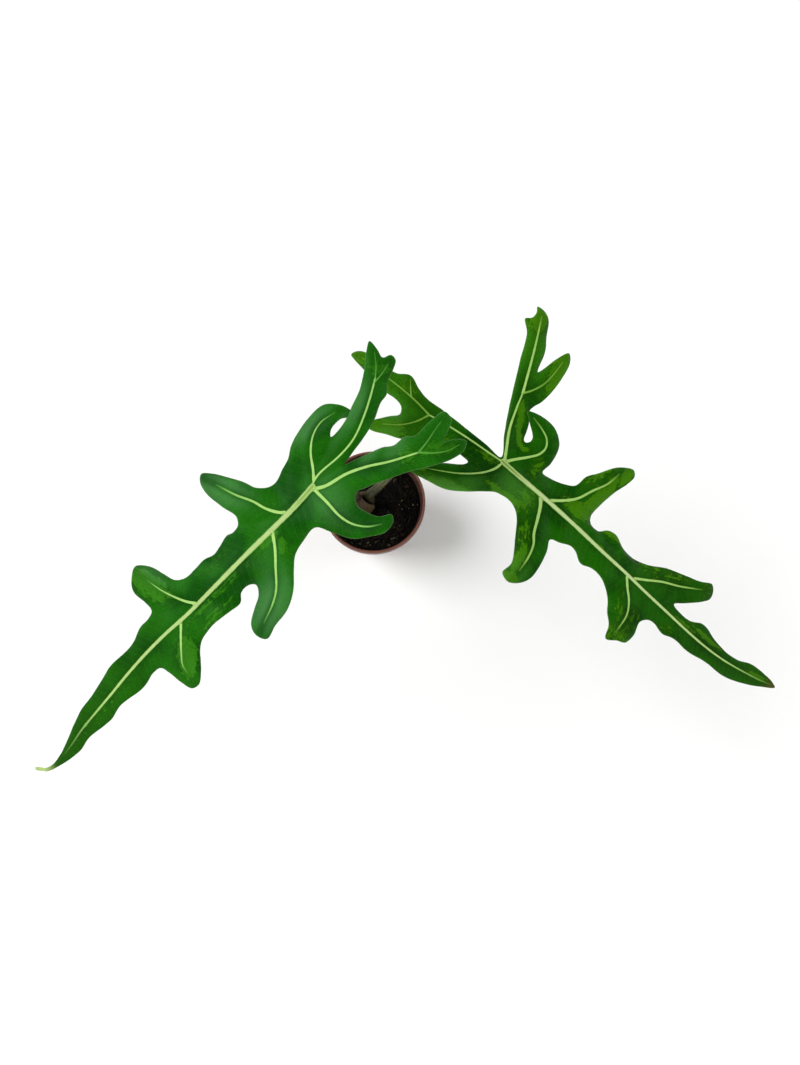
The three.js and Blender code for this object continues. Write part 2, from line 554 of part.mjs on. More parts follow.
function placedBlade(name, leaf, look) {
  const mesh = named(name, bladeGeometry(leaf), look);
  mesh.applyMatrix4(bladeMatrix(leaf));
  return mesh;
}

const plant = new THREE.Group();
plant.add(named('pot', potGeometry(), material(0x7a4034, 0.65)));
plant.add(named('soil', soilGeometry(), material(0x17120f, 0.95)));
plant.add(named('stem', stemGeometry(), material(0x6b5a3f, 0.8)));
plant.add(named('sheath', sheathGeometry(), material(0x7d6149, 0.75)));
plant.add(named('left_petiole', stalkGeometry(LEFT), material(0x6f7d3a, 0.45)));
plant.add(named('right_petiole', stalkGeometry(RIGHT), material(0x74773c, 0.45)));
plant.add(placedBlade('left_blade', LEFT, material(0x1e5a28, 0.4)));
plant.add(placedBlade('right_blade', RIGHT, material(0x2c6a1c, 0.4)));

export default plant;
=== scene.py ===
"""Looks of a young lobed aroid in its nursery pot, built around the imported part."""

import math
from types import SimpleNamespace as Values

import bmesh
import bpy
import numpy as np
from mathutils import Euler, Matrix, Vector
from mathutils.geometry import delaunay_2d_cdt
from mathutils.noise import noise
from numpy.linalg import norm


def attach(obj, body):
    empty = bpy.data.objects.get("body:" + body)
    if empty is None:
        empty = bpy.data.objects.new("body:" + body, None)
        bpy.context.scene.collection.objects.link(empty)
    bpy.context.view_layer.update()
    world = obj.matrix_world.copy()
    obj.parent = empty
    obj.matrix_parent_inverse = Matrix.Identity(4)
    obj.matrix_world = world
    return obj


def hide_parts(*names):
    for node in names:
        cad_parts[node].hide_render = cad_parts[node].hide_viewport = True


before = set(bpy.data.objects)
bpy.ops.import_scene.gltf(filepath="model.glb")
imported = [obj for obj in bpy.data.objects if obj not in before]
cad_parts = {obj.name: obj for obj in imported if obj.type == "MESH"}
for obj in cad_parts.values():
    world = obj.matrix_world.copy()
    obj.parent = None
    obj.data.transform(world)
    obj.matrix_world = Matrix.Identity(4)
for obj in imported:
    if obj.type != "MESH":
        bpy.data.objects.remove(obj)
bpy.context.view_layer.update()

# Every size below is in millimetres, in the part's frame
MM = 0.001
SEED = 20

# Levels are the heights of the rings in the pot's wall, and soft and small_round ease its small edges
POT = Values(
    height=62, rim=35, lip_depth=7, lip_width=1.7, lip_round=0.9, lip_step=0.3, inner_lip=2, rubbed=1.2,
    foot=24, foot_round=0.9, wall=1.1, levels=(4, 14, 24, 34, 44), soft=0.2, small_round=0.6, sides=160,
    sharp_degrees=32,
)
DRAIN = Values(
    boss=8, inner=9, outer=18.5, rise=1.6, boss_slope=0.2, outer_slope=1.3, holes=6, radius=2.8,
    circle=13.7, sides=40, cutter=12,
)
# Noise layers: height, swells in a unit of length along each axis, and a shift
SOIL = Values(
    top=53, crown=1.2, calm=0.6, around=260, rings=64, gap=0.3, seam=0.05, edge=3, bevel=0.5,
    socket_rings=10, wall_rings=16,
    lumps=[
        (0.75, (1 / 7.4, 1 / 7.4, 0), (0, 0, 0)), (0.7, (1 / 3.1, 1 / 3.1, 0), (9, 0, 4)),
        (0.45, (1 / 1.3, 1 / 1.3, 0), (0, 5, 2)), (0.22, (1 / 0.6, 1 / 0.6, 0), (3, 3, 8)),
    ],
)
STEM = Values(
    x=-7, y=0.5, radius=7.2, foot=24, top=62, crown=0.2, scar_pitch=3.2, scar_depth=0.35, scar_power=3,
    slack=0.1, dome=3, dome_share=0.45, taper=5, taper_share=0.8, sides=96, rows=110,
    grain=[(0.22, (4, 4, 0.12), (0, 0, 0)), (0.1, (14, 14, 0.25), (0, 0, 0))],
)
SHEATH = Values(
    inner=7.9, clear=0.25, wall=0.5, top_share=0.55, side_share=0.35, side_slope=12, low=55.2, shoulder=6,
    high=80, start=196, end=342, lean=7.4, lean_from=4, lean_power=1.6, point=0.8, columns=150, rows=60,
    torn=[(0.07, (26, 0, 0), (0, 3.1, 0)), (0.05, (70, 0, 0), (0, 8.2, 0))],
    fibres=[(0.16, (60, 1.6, 0), (0, 0, 1)), (0.3, (9, 2.2, 0), (0, 0, 5))],
)
PETIOLE = Values(
    base=3.3, top=1.9, swell=0.5, swell_start=0.94, flare=1.3, flare_end=0.13, upright=13, seat=0.1,
    length=200, end=0.3, sides=36, steps=190,
)
BLADE = Values(
    thick=0.8, rib=1.4, rib_spread=1.5, rib_foot=0.3, side_droop=9, side_reach=60, fold=12, fold_width=9,
    wave_start=2, wave_full=11, wave_skew=0.35, edge_round=0.7, least_edge=0.22,
)
# Spacing of the blade's mesh: along the margin and veins, in rings inside the margin, and on the open face
MESH = Values(
    edge=0.9, route=0.4, vein=0.9, rings=(0.35, 0.95), ring_share=0.8, grid=0.95, row=math.sqrt(0.75),
    room=0.3, open_room=0.5, merge=1e-5, batch=2000,
)

# Low relief of a blade's upper face: lamina bulging beside the veins and falling to a turned down margin.
# A pair is a range over which something sets in, with the distance from a vein or the margin, or with width.
RELIEF = Values(
    puff=0.35, puff_reach=1.8, droop=0.32, droop_ease=4.5, curl=0.5, curl_reach=2.2, ruffle=0.35,
    ruffle_size=6, ruffle_reach=3, uneven=0.3, uneven_size=17, uneven_shift=9, uneven_away=(1, 6),
    side_vein=0.03, side_pitch=3.4, side_slant=0.55, side_away=(1, 3), side_margin=(0.3, 1.8),
    crest=0.22, crest_reach=1.15, groove=0.12, groove_at=1.6, groove_width=0.5, groove_half=(0.2, 0.8),
    tuck_full=1.5,
)
# Where a vein's colour changes: shares of its length, the half width below which it is an outer one, and how
# many half widths away the distance to it is still told
VEIN = Values(
    outer_half=0.55, outer_fade=0.45, end=0.8, end_fade=0.7, fork_change=0.3, midrib_end=(0.45, 0.9),
    told=12,
)
# Where the skin's colour changes, from the joint outwards, how its soft spots fall off, and the shifts that
# set the pattern of each blade and each vein apart
SKIN = Values(
    rear=(22, 60), rear_side=0.35, rear_blend=12, end=(60, 190), tip=(188, 200), spot_fall=0.7,
    spot_power=1.5, blade_apart=31.0, vein_apart=17.0,
)
CAMERA = Values(place=(17.902, -113.548, 586.652), elevation=80, lens=27.04, sensor=36)
# The sky is bright at the horizon and dim overhead, where the leaves would mirror it to a viewer above them
STAGE = Values(
    floor_across=60000, floor_drop=0.1, floor_sides=96, sky_horizon=1.4, sky_zenith=0.08, sky_fall=1.7,
    sky_colour=(1, 1, 1, 1),
)
# Soft lights: azimuth (0 is +Y, 90 is +X), elevation and angular size in degrees, and strength
LIGHTS = {"key": (-80, 49, 40, 2.6), "fill": (75, 30, 50, 0.75), "front": (170, 25, 50, 0.5)}
# Bits on the soil: sizes are half lengths, flat is the range of height over length, sunk is a share of the
# size, and spots are bits of known place and size
CHIP = Values(
    swells=1.9, apart=7.3, cut=(0.45, 0.85), width=(0.45, 0.85), tilt=0.25, rim_room=0.4, stem_room=0.8,
)
# The bits' dark and light tones are partly their own and partly painted shade, darker than the bits
# themselves
CRUMBS = [
    Values(
        name="bark_chips", count=190, level=3, cuts=9, sizes=(0.9, 2.7), flat=(0.2, 0.45), rough=0.3,
        sunk=0.3, dark=(9, 7, 5), light=(30, 22, 15), odd=(68, 59, 36),
        spots=[(13.1, -2.6, 1.6), (7.6, 17, 2), (21.3, -10.9, 1.8)],
    ),
    Values(
        name="peat_crumbs", count=1300, level=2, cuts=5, sizes=(0.25, 1), flat=(0.5, 0.9), rough=0.7,
        sunk=0.35, dark=(7, 6, 4), light=(23, 18, 12), odd=(42, 40, 24), spots=[],
    ),
    Values(
        name="moss_crumbs", count=34, level=2, cuts=3, sizes=(0.3, 1), flat=(0.5, 0.9), rough=0.9, sunk=0.4,
        dark=(34, 40, 24), light=(84, 92, 62), odd=(104, 108, 80),
        spots=[(-19.3, -24.7, 1), (-14.5, -26.7, 1.2), (-9.1, -27.4, 0.9), (-3.7, -26.7, 1.1),
               (1.7, -26.1, 1), (7.1, -25.4, 0.8), (12.5, -24, 0.9), (16.5, -21.9, 0.7)],
    ),
    Values(
        name="pale_grit", count=34, level=2, cuts=7, sizes=(0.3, 0.7), flat=(0.6, 0.9), rough=0.3, sunk=0.3,
        dark=(70, 64, 50), light=(118, 112, 92), odd=(140, 134, 116),
        spots=[(17.2, -0.5, 0.75), (26.8, -0.5, 0.8), (13.8, -23.3, 0.6)],
    ),
]
FIBRES = Values(
    name="coir_fibres", count=90, length=(3, 12), radius=0.11, thick=(0.6, 1.3), sides=5, bends=5, sway=0.5,
    lift=(0.1, 0.5), dark=(24, 17, 11), light=(62, 45, 28), odd=(90, 72, 44),
)

# Each blade lies in its own frame: x across, y from the stalk along the midrib, z off its face
LEFT = Values(
    name="left", blade_slot="blade_bluegreen", stalk_slot="petiole_green",
    joint=(-19.1, -37.5, 262), heading=-137.9, pitch=11.5, foot=(0, 0.6),
    tip_droop=38, tip_reach=180, rear_droop=16, rear_reach=75,
    wave=1.5, wave_length=31, wave_phase=0.6, seed=3,
    stalk=[(-10.6, 0.6, 60), (-10.7, 0.5, 70), (-12.4, -2, 108), (-15.6, -12, 160), (-17.6, -24.5, 212)],
    tuck_at=(13.2, -33), tuck_reach=4.4, tuck_by=(-1, -0.2, -1.3),
    tuck_zone=[(11.5, -21), (12, -27), (12.15, -30.5), (12.9, -32.3), (14.4, -34.8), (24, -36), (24, -25),
               (16, -24)],
    tones=Values(
        deep=(14, 74, 8), mid=(28, 100, 10), rear=(30, 98, 14), end=(28, 82, 2), tip=(160, 184, 110),
        # The milky green given for the lobes' sheen is painted sheen
        patch=(56, 130, 20), bloom=(80, 142, 76), patch_share=0.7, mottle=1.3, marble=0.3, dim=0.86,
        # The groove tone is painted shade of a groove at the midrib's root
        vein=(170, 214, 118), vein_end=(98, 166, 70), midrib=(164, 202, 112), groove=(132, 166, 84),
        core=(186, 200, 142), outer_veins=0.78, midrib_ends=(0.7, 0.97),
        under=(84, 126, 66), under_pale=(104, 144, 82), under_vein=(150, 182, 112), gloss=0.06,
        wax=(0.5, 1, 0.5, 1),
    ),
    # The stalks' low khaki is partly their own colour and partly painted shade
    stalk_tones=Values(low=(62, 52, 32), high=(112, 148, 60), streak=(130, 152, 76), fleck=(62, 44, 34)),
)
RIGHT = Values(
    name="right", blade_slot="blade_yellowgreen", stalk_slot="petiole_khaki",
    joint=(64.8, -15.8, 230), heading=-34.5, pitch=11.9, foot=(2.4, 3.4),
    tip_droop=34, tip_reach=182, rear_droop=20, rear_reach=85,
    wave=1.7, wave_length=27, wave_phase=2.1, seed=8,
    stalk=[(-3.5, 1.4, 60), (-3.1, 2, 70), (4.2, 4.4, 87), (16, 8.2, 118), (28, 3.8, 150), (38, -4.8, 173),
           (49, -12.8, 194)],
    tuck_at=(-24.4, -0.6), tuck_reach=13, tuck_by=(0.3, -2.6, 1.7),
    tuck_zone=[(-29, 8), (-28, 1), (-25.6, -0.6), (-24.4, -1.1), (-22.8, 0.6), (-21.3, 1.8), (-19, 3.9),
               (-17, 5.3), (-17, 10), (-22, 12)],
    tones=Values(
        deep=(10, 60, 4), mid=(24, 86, 5), rear=(46, 108, 10), end=(26, 78, 4), tip=(74, 72, 22),
        # The milky green given for the lobes' sheen is painted sheen
        patch=(64, 122, 8), bloom=(74, 136, 49), patch_share=0.8, mottle=1.9, marble=0.55, dim=0.66,
        # The groove tone is painted shade of a groove at the midrib's root
        vein=(162, 202, 110), vein_end=(122, 168, 66), midrib=(170, 202, 120), groove=(116, 146, 66),
        core=(194, 208, 156), outer_veins=0.95, midrib_ends=(0.78, 1.05),
        under=(82, 124, 60), under_pale=(102, 142, 76), under_vein=(152, 182, 112), gloss=0.07,
        wax=(0.45, 1, 0.3, 1),
    ),
    # The stalks' low khaki is partly their own colour and partly painted shade
    stalk_tones=Values(low=(58, 48, 28), high=(122, 146, 60), streak=(138, 150, 80), fleck=(66, 52, 36)),
)

# Margins of the blades, lobe by lobe, anticlockwise seen from above.
# Veins: half width at the root and at the end, then the route outwards.
LEFT.margin = [
    # rear lobe on the +x side, forked at its end
    (-2.3, -17), (-0.9, -22), (0.6, -29), (3, -37), (7.6, -45.5), (8.6, -49.5), (12, -53), (14.5, -58),
    (17.5, -62.4), (20.5, -62.4), (21.8, -59), (26, -59.8), (31.2, -59.8), (28.5, -56), (23, -49.8),
    (17.5, -42.5), (14, -35), (11.6, -30), (10.3, -24), (10.6, -20.3),
    # horn that curls back beside it
    (12.6, -22.5), (13.3, -27), (12.9, -31.8), (14.6, -33.7), (19.5, -31), (22.6, -27), (23, -20),
    (21.3, -12), (18.8, -5.5), (15.8, -1), (14.5, 5), (13, 10),
    # first and second side lobes on the +x side
    (13.6, 13.5), (17, 17.5), (22, 19.5), (28, 23), (34, 27), (38, 31.3), (35.3, 34.3), (29, 35),
    (21, 33.7), (13.5, 32), (10.6, 34.5), (10.3, 38), (11.8, 41.5), (10.8, 47), (10, 51.5), (11.2, 56),
    (10.8, 62), (11.2, 67.5), (14, 72), (20, 74.3), (26, 76.5), (30.8, 81.5), (28.6, 86), (23.5, 90.3),
    (17, 89.7), (12.4, 90.2), (10.9, 94), (11.1, 101),
    # long end and its thread-like tip
    (9.4, 108), (9, 115), (9.3, 123), (8.5, 134), (7.2, 146), (6, 157), (4, 167), (1.6, 176.5),
    (0.4, 184), (0.6, 193), (3.6, 200.6), (8, 207.5), (7.1, 208.3), (2.3, 202), (-0.9, 195.3),
    (-2.6, 189.5), (-4.7, 180.5), (-6, 170), (-5.2, 162), (-6.8, 149.5), (-7.2, 144), (-6.4, 135),
    (-8.2, 121.5), (-7.2, 110.5),
    # side lobes on the -x side
    (-8.4, 105.5), (-13, 103.2), (-20, 101.5), (-25.2, 99.2), (-26.2, 94.5), (-22.5, 90), (-16, 85.5),
    (-12.8, 81.5), (-12, 73), (-13, 63), (-13.2, 57), (-10.4, 53.5), (-10.4, 48.8), (-13, 45.7),
    (-16.6, 47.6), (-20, 53.5), (-24, 58.5), (-29, 59.6), (-33.2, 57), (-31.6, 50.5), (-30, 41.5),
    (-25.5, 33.5), (-20, 28.7), (-15.4, 24), (-13.2, 17.5), (-13.2, 10),
    # hooked lobe over the pot
    (-20, 5.8), (-27.5, 1.5), (-31.5, -3.8), (-35.2, -11), (-33.8, -16), (-31.2, -17.3), (-28.6, -13),
    (-24, -10.6), (-18.5, -9.3), (-14.2, -12),
    # rear lobe on the -x side, forked at its end
    (-16, -18), (-19.2, -25.5), (-22.5, -33.5), (-27, -42), (-30.6, -50), (-31.4, -57), (-29, -60.4),
    (-25.6, -58), (-22.8, -53.8), (-20.8, -57.5), (-18, -62), (-13, -62.4), (-12.4, -54),
    (-12.7, -46.2), (-9.8, -43), (-9.7, -37), (-7.2, -33), (-5.6, -27), (-3.4, -20.5),
]

LEFT.veins = [
    (1.32, 0.3, [(0, -1), (-1, 12), (-1, 40), (-1, 62), (-0.8, 78), (0.3, 92), (0.8, 106), (0.7, 120),
        (0.2, 135), (0, 150), (-0.2, 162), (-1, 172), (-1.2, 184), (-0.4, 193)]),
    (0.7, 0.34, [(0.3, 15), (2, 17), (7, 20), (13, 22), (20, 25.5), (29, 28.8)]),
    (0.66, 0.2, [(0, 71.5), (3, 74), (8, 76.7), (15, 79.5), (22.5, 81.3)]),
    (0.74, 0.34, [(-0.9, 23.6), (-3, 25.2), (-8, 28.5), (-14, 33.5), (-21, 39.5), (-24.5, 45), (-27.5, 53)]),
    (0.72, 0.3, [(0, 81.6), (-2, 83.5), (-6, 87.5), (-11, 92), (-15, 95), (-19, 95.6)]),
    (0.72, 0.32, [(-1, -0.5), (-9, -1), (-17.5, -1.2), (-23.5, -3), (-28.5, -6.8), (-31.8, -11.8)]),
    (0.8, 0.4, [(-1, -0.5), (-3.6, -5), (-6, -15), (-9.5, -23), (-14.5, -31.5), (-19.6, -42.5)]),
    (0.4, 0.2, [(-19.6, -42.5), (-24, -47), (-27.2, -52), (-28.4, -57)]),
    (0.4, 0.2, [(-19.6, -42.5), (-18.6, -48), (-17, -53.5), (-15.8, -58)]),
    (0.42, 0.42, [(0.5, -0.5), (2, -6), (1.8, -18), (3.2, -27), (7.5, -36.5), (12, -44), (16.5, -50.5)]),
    (0.3, 0.16, [(16.5, -50.5), (20.5, -54.5), (25.5, -58)]),
    (0.4, 0.2, [(15.5, -49), (16.3, -54), (18, -59)]),
    (0.64, 0.2, [(1.6, -3), (5, -5.8), (11, -10), (15.5, -15.5), (17.4, -21.5), (16.6, -28.5)]),
]

RIGHT.margin = [
    # rear lobe on the +x side, beside the sinus, with a side lobe
    (-0.3, -0.4), (-0.9, -9), (-1.6, -20), (-2.8, -34), (-3, -43), (-5.2, -49.3), (-8.3, -56), (-5.8, -62.5),
    (-6.6, -70), (-7.2, -78.5), (-6, -82.8), (-3, -84.6), (-1.2, -81.5), (0.5, -76), (3.5, -68),
    (4.8, -60), (5, -55.6), (6.6, -51), (10, -49.6), (13.5, -52.8), (19, -57.6), (22.8, -61.3),
    (24, -56), (21.7, -48.7), (19.3, -42), (15, -37), (11.6, -30.5), (10.2, -23), (9.7, -15.5),
    # inner lobe that runs back over the pot
    (10.7, -11.8), (12.9, -12.8), (17, -19.2), (21, -25), (25, -31), (28, -34.5), (30, -31), (29.2, -22),
    (27.8, -13.3), (23.5, -5.8), (17.5, 2), (13.8, 8),
    # side lobes on the +x side
    (14, 15.5), (17.5, 20.7), (24.5, 25.5), (31, 29), (37.5, 31.2), (43.2, 30.2), (45.2, 34.6),
    (41.8, 40.2), (36, 43.2), (24, 42.5), (17, 40.8), (15.5, 45.5), (13.3, 51.5), (13.8, 55.5),
    (16.4, 61), (15.3, 66.8), (18.3, 77), (22.5, 82.8), (28.5, 86), (32.5, 88.8), (38.4, 91.2),
    (35.8, 97), (33.2, 102.8), (27.3, 104.5), (21.8, 102.4),
    # long end
    (17.6, 106.5), (16.6, 111.5), (18.2, 118), (17, 123.5), (17, 134), (15.2, 147), (14.8, 157.5),
    (13, 168), (9, 180), (4, 191), (-1.2, 200.3), (-2.3, 195.5), (-2.3, 186), (-0.8, 175), (2, 167.5),
    (3.5, 158), (2.9, 150.5), (0.6, 141), (1, 134.5), (4, 127.5), (4, 120), (2.7, 115),
    # side lobes on the -x side
    (-1.5, 120), (-8.5, 128.7), (-12.2, 132), (-16.4, 131), (-18.2, 128), (-14.4, 119.5), (-11.2, 108),
    (-8.5, 100), (-3.6, 90), (-2.2, 81), (-2.4, 73.5), (-4.8, 67.5), (-4.4, 63), (-1.2, 59),
    (-1.6, 54.3), (-5, 52.2), (-12.5, 52.9), (-20, 54.5), (-27.5, 57.3), (-32, 58.1), (-34.4, 56),
    (-33.2, 52.2), (-29.5, 47.5), (-22.5, 42.3), (-17.5, 38.3), (-11, 36.4), (-8.7, 32), (-7.3, 25),
    (-6.8, 20),
    # curled lobe
    (-12, 20.9), (-18.5, 20.5), (-22.5, 18.8), (-25.6, 14.5), (-27, 9), (-26.4, 3.5), (-24.4, -0.6),
    (-22.2, 1.9), (-20.3, 3.7), (-17.6, 6), (-14.4, 6.7), (-13, 5.2),
    # rear lobe on the -x side, with a side lobe
    (-13.6, 3.9), (-17.5, 2.6), (-21.3, 0.9), (-24.6, -1.7), (-28.5, -1.4), (-32, 0.2), (-39, 1.6),
    (-48, 2), (-56.5, 1), (-60.2, -1.8), (-54, -5.3), (-46.5, -7.6), (-43.2, -9.1), (-46, -10),
    (-53, -11.3), (-60, -14.7), (-67.5, -18.2), (-70.8, -22.5), (-70.9, -26.4), (-67.5, -25.3),
    (-64.2, -25.6), (-62, -28.1), (-59.6, -26.3), (-56, -23.5), (-43, -19), (-30, -14.2), (-20, -10.2),
    (-10, -5.4),
]

RIGHT.veins = [
    (1.24, 0.3, [(1.2, 1), (2, 10), (2.9, 25), (4.3, 45), (6, 65), (7, 82), (8, 95), (8.8, 112), (9.4, 128),
        (9.3, 142), (8.3, 155), (6.6, 166), (4, 179), (1.8, 188), (-0.3, 196)]),
    (0.62, 0.16, [(1.5, 1.5), (5.5, 0.4), (10, -2.6), (14.4, -7.2), (18.5, -13), (22, -19.5), (25.5, -27)]),
    (0.96, 0.4, [(2.9, 24.4), (4, 25.4), (7, 27.5), (13, 29.8), (20, 32.2), (24, 34.7), (30, 36), (38, 36)]),
    (0.74, 0.36, [(7.5, 83), (12, 86.5), (17, 91), (23, 93.8), (33, 93.6)]),
    (0.78, 0.42, [(3.2, 28.6), (2, 30.5), (-2, 36), (-6.5, 40.6), (-14, 44.7), (-21, 48.8), (-28, 50.8)]),
    (0.66, 0.34, [(7, 86), (3, 93.5), (-1.5, 101.5), (-5.5, 111), (-11.5, 122.5)]),
    (0.76, 0.34, [(0.8, 2), (-3, 5.3), (-8, 10.2), (-12, 13.4), (-16, 14.2), (-19.5, 12.2), (-22, 8),
        (-23.6, 3.4)]),
    (0.8, 0.4, [(0.8, 2), (-5, -0.8), (-13, -4.8), (-22, -7.6), (-30, -9.4)]),
    (0.64, 0.4, [(-30, -9.4), (-40, -12.8), (-50, -16.2), (-60, -19.8), (-67, -22.3)]),
    (0.5, 0.22, [(-30, -9.4), (-34, -6.4), (-40, -3.6), (-47, -2.5), (-54, -2.2)]),
    (0.44, 0.42, [(1.3, 1.5), (1.7, -8), (1.9, -20), (2.5, -31), (3.1, -38.5)]),
    (0.5, 0.2, [(3.1, -38.5), (1, -47), (-0.8, -58), (-1.8, -68), (-3.6, -79)]),
    (0.5, 0.2, [(3.1, -38.5), (9, -41.6), (14.5, -46.5), (19, -53.5)]),
    (0.4, 0.15, [(0.4, -50), (-3, -52.6), (-6.4, -55)]),
]

# Lighter patches of the blades: middle, two half sizes, how far they are turned in degrees, and strength
LEFT.patch = [
    (-14, 91, 9, 4.5, 145, 1), (20, 82, 12, 6, 15, 0.75), (-3.2, 28, 2, 6, 0, 0.9),
    (-9, 25.5, 5, 2.2, 150, 0.7), (-4, 62, 1.6, 26, 0, 0.55), (-10, 68, 3, 12, 0, 0.5),
    (-17, -38, 6, 5, 0, 0.5), (-24, -50, 4, 9, -30, 0.55), (6, 52, 3, 8, 0, 0.35), (4, 18, 2, 5, 60, 0.35),
    (18, -55, 6, 4, 40, 0.5), (-1, 150, 4, 40, 0, 0.35),
]
RIGHT.patch = [
    (-50, -1, 12, 4, 4, 0.95), (-66, -23, 7, 5, 20, 0.95), (-21, -4, 7.5, 1.9, 28, 1),
    (-13.6, 0.4, 3.6, 1.2, 50, 1), (-10.4, 3.4, 2.6, 1.1, 65, 1), (-9.8, 6.4, 2.4, 1.1, 110, 0.95),
    # The patch at (25.5, -12) is partly painted sheen, like the sheen painted over it
    (-6, 16, 5, 3, 0, 0.55), (3.5, -6, 2, 8, 0, 0.5), (25.5, -12, 3, 14, 15, 0.7), (26.5, -28, 4, 5, 0, 0.5),
    (13, 11, 1.8, 11, 0, 0.9), (9, 20, 7, 5, 0, 0.55), (-13, 49.5, 14, 3.4, -12, 1),
    (-2.6, 44, 3.2, 8, 0, 1), (-30, 54.5, 5, 3, 0, 0.9), (-22, 43, 9, 2.4, -28, 0.6),
    (5.4, 63, 1.2, 6, 0, 0.7), (-3.4, 66, 1.6, 6, 0, 0.8), (34, 33, 9, 2.4, 10, 0.8),
    (43, 34, 3, 4, 0, 0.9), (-14, 127, 5, 6, 0, 0.35),
    (-8, 107, 2, 9, 23, 0.5), (5.2, 141, 1.3, 11, 0, 0.95), (7.6, 126, 1, 9, 0, 0.7),
    (1.8, 184, 1.5, 9, 13, 0.9), (34, 95, 5, 9, 10, 0.55), (-5, -77, 4, 11, 0, 1), (20, -51, 5, 9, 34, 0.9),
    (-3, -54, 4, 6, 0, 0.5), (15, 118, 2, 5, 0, 0.35), (-4, 92, 1.6, 9, 26, 0.5), (24, 90, 8, 2.4, 30, 0.45),
    (22, 28, 8, 3, 30, 0.5), (3, -66, 2, 7, 10, 0.6), (-4, 100, 5, 16, 20, 0.3), (-26, 45, 12, 7, -20, 0.3),
    (11, -28, 5, 16, 0, 0.35), (26, 98, 9, 4, 15, 0.4),
]
# Painted milky sheen on the blades, and painted shade on their darker stretches, given like the patches
LEFT.bloom = [
    (25, 28, 11, 6, 30, 0.6), (-25, 46, 8, 12, 25, 0.6), (12.5, -36, 3.5, 11, 20, 0.5),
    (-4, -31, 3.5, 9, 25, 0.5), (-12, -36, 4, 7, 30, 0.35), (19.5, -18, 4, 10, 0, 0.55),
    (24, 77, 8, 5, 0, 0.35), (-8, -3, 9, 7, 0, 0.4),
]
# Painted shade on the left blade's darker stretches
LEFT.shade = [
    (-20, 4, 9, 7, -40, 1), (-30, -7, 5, 4, -40, 0.6), (-7, 43, 6, 8, 0, 0.6), (5, 9, 7, 7, 0, 0.4),
    (15, -57, 7, 5, 0, 0.7), (6, -17, 3.5, 7, 0, 0.6), (-27, -53, 5, 8, 0, 0.7), (3, 108, 14, 16, 0, 0.4),
]
RIGHT.bloom = [
    (27, -12, 3.6, 11, 15, 1), (40, 35, 8, 5, 0, 0.35), (8, 12, 7, 8, 0, 0.45), (-10, -6, 10, 4, 20, 0.35),
    (19, -49, 7, 5, 0, 0.5), (18, -6, 6, 5, -30, 0.35),
]
# Painted shade on the right blade's darker stretches
RIGHT.shade = [
    (24, 97, 8, 6, 0, 0.8), (-64, -16, 8, 4, 15, 0.6), (-10, 22, 4, 7, 0, 0.6), (9, 146, 4, 12, 0, 0.6),
    (17, 120, 3, 12, 0, 0.4),
]


# Meshes
def add_object(name, data):
    thing = bpy.data.objects.new(name, data)
    bpy.context.scene.collection.objects.link(thing)
    return thing


def make_piece(name, points, faces, material, node=None):
    """A smooth mesh from points in millimetres, which rides on the plant and may stand for a CAD node."""
    mesh = bpy.data.meshes.new(name)
    mesh.from_pydata((np.asarray(points, float) * MM).tolist(), [], faces)
    mesh.validate()
    mesh.shade_smooth()
    mesh.materials.append(material)
    piece = add_object(name, mesh)
    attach(piece, "root")
    if node:
        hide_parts(node)
    return piece


def store(piece, name, values):
    """Keeps one number, or three, for each of the piece's vertices, for its material to read."""
    values = np.asarray(values, np.float32)
    kind, key = ("FLOAT", "value") if values.ndim == 1 else ("FLOAT_VECTOR", "vector")
    attribute = piece.data.attributes.new(name, kind, "POINT")
    attribute.data.foreach_set(key, values.ravel())


def smoothstep(value, low, high):
    t = np.clip((value - low) / (high - low), 0, 1)
    return t * t * (3 - 2 * t)


def relief(place, layers):
    """The sum of noise layers at a place, each with a height, swells along each axis and a shift."""
    at = [(height, [p * f + s for p, f, s in zip(place, swells, shift)]) for height, swells, shift in layers]
    return sum(height * noise(Vector(point)) for height, point in at)


def circle(sides):
    """Cosines and sines of even steps round a circle."""
    turns = np.linspace(0, 2 * math.pi, sides, endpoint=False)
    return np.stack([np.cos(turns), np.sin(turns)], 1)


def grid_faces(rows, columns, closed=True):
    """Quads between rows of points, each row a ring unless closed is False."""
    faces = []
    for r in range(rows - 1):
        for c in range(columns if closed else columns - 1):
            a, b = r * columns + c, r * columns + (c + 1) % columns
            faces.append((a, b, b + columns, a + columns))
    return faces


def capped_faces(rows, sides):
    """Faces of a solid made of rings, with the middles of its first and last ring as its last two points."""
    first, last, top = rows * sides, rows * sides + 1, (rows - 1) * sides
    low = [(first, (i + 1) % sides, i) for i in range(sides)]
    high = [(last, top + i, top + (i + 1) % sides) for i in range(sides)]
    return grid_faces(rows, sides) + low + high


def two_sided(faces, count):
    """Faces of a sheet: its front of count points, its back of as many more, and the rim between them."""
    edges = {(a, b) for face in faces for a, b in zip(face, face[1:] + face[:1])}
    rim = [(a, b) for a, b in edges if (b, a) not in edges]
    solid = [tuple(face) for face in faces]
    solid += [tuple(i + count for i in reversed(face)) for face in faces]
    return solid + [(b, a, a + count, b + count) for a, b in rim]


# Curves through given points
def curve_stretch(p0, p1, p2, p3, count):
    """Points of a centripetal Catmull-Rom curve from p1 towards p2, without p2."""
    d0, d1, d2 = (math.sqrt(norm(b - a)) or 1 for a, b in ((p0, p1), (p1, p2), (p2, p3)))
    slope1 = d1 * ((p1 - p0) / d0 - (p2 - p0) / (d0 + d1) + (p2 - p1) / d1)
    slope2 = d1 * ((p2 - p1) / d1 - (p3 - p1) / (d1 + d2) + (p3 - p2) / d2)
    t = (np.arange(count) / count)[:, None]
    start = (2 * t**3 - 3 * t**2 + 1) * p1 + (t**3 - 2 * t**2 + t) * slope1
    return start + (3 * t**2 - 2 * t**3) * p2 + (t**3 - t**2) * slope2


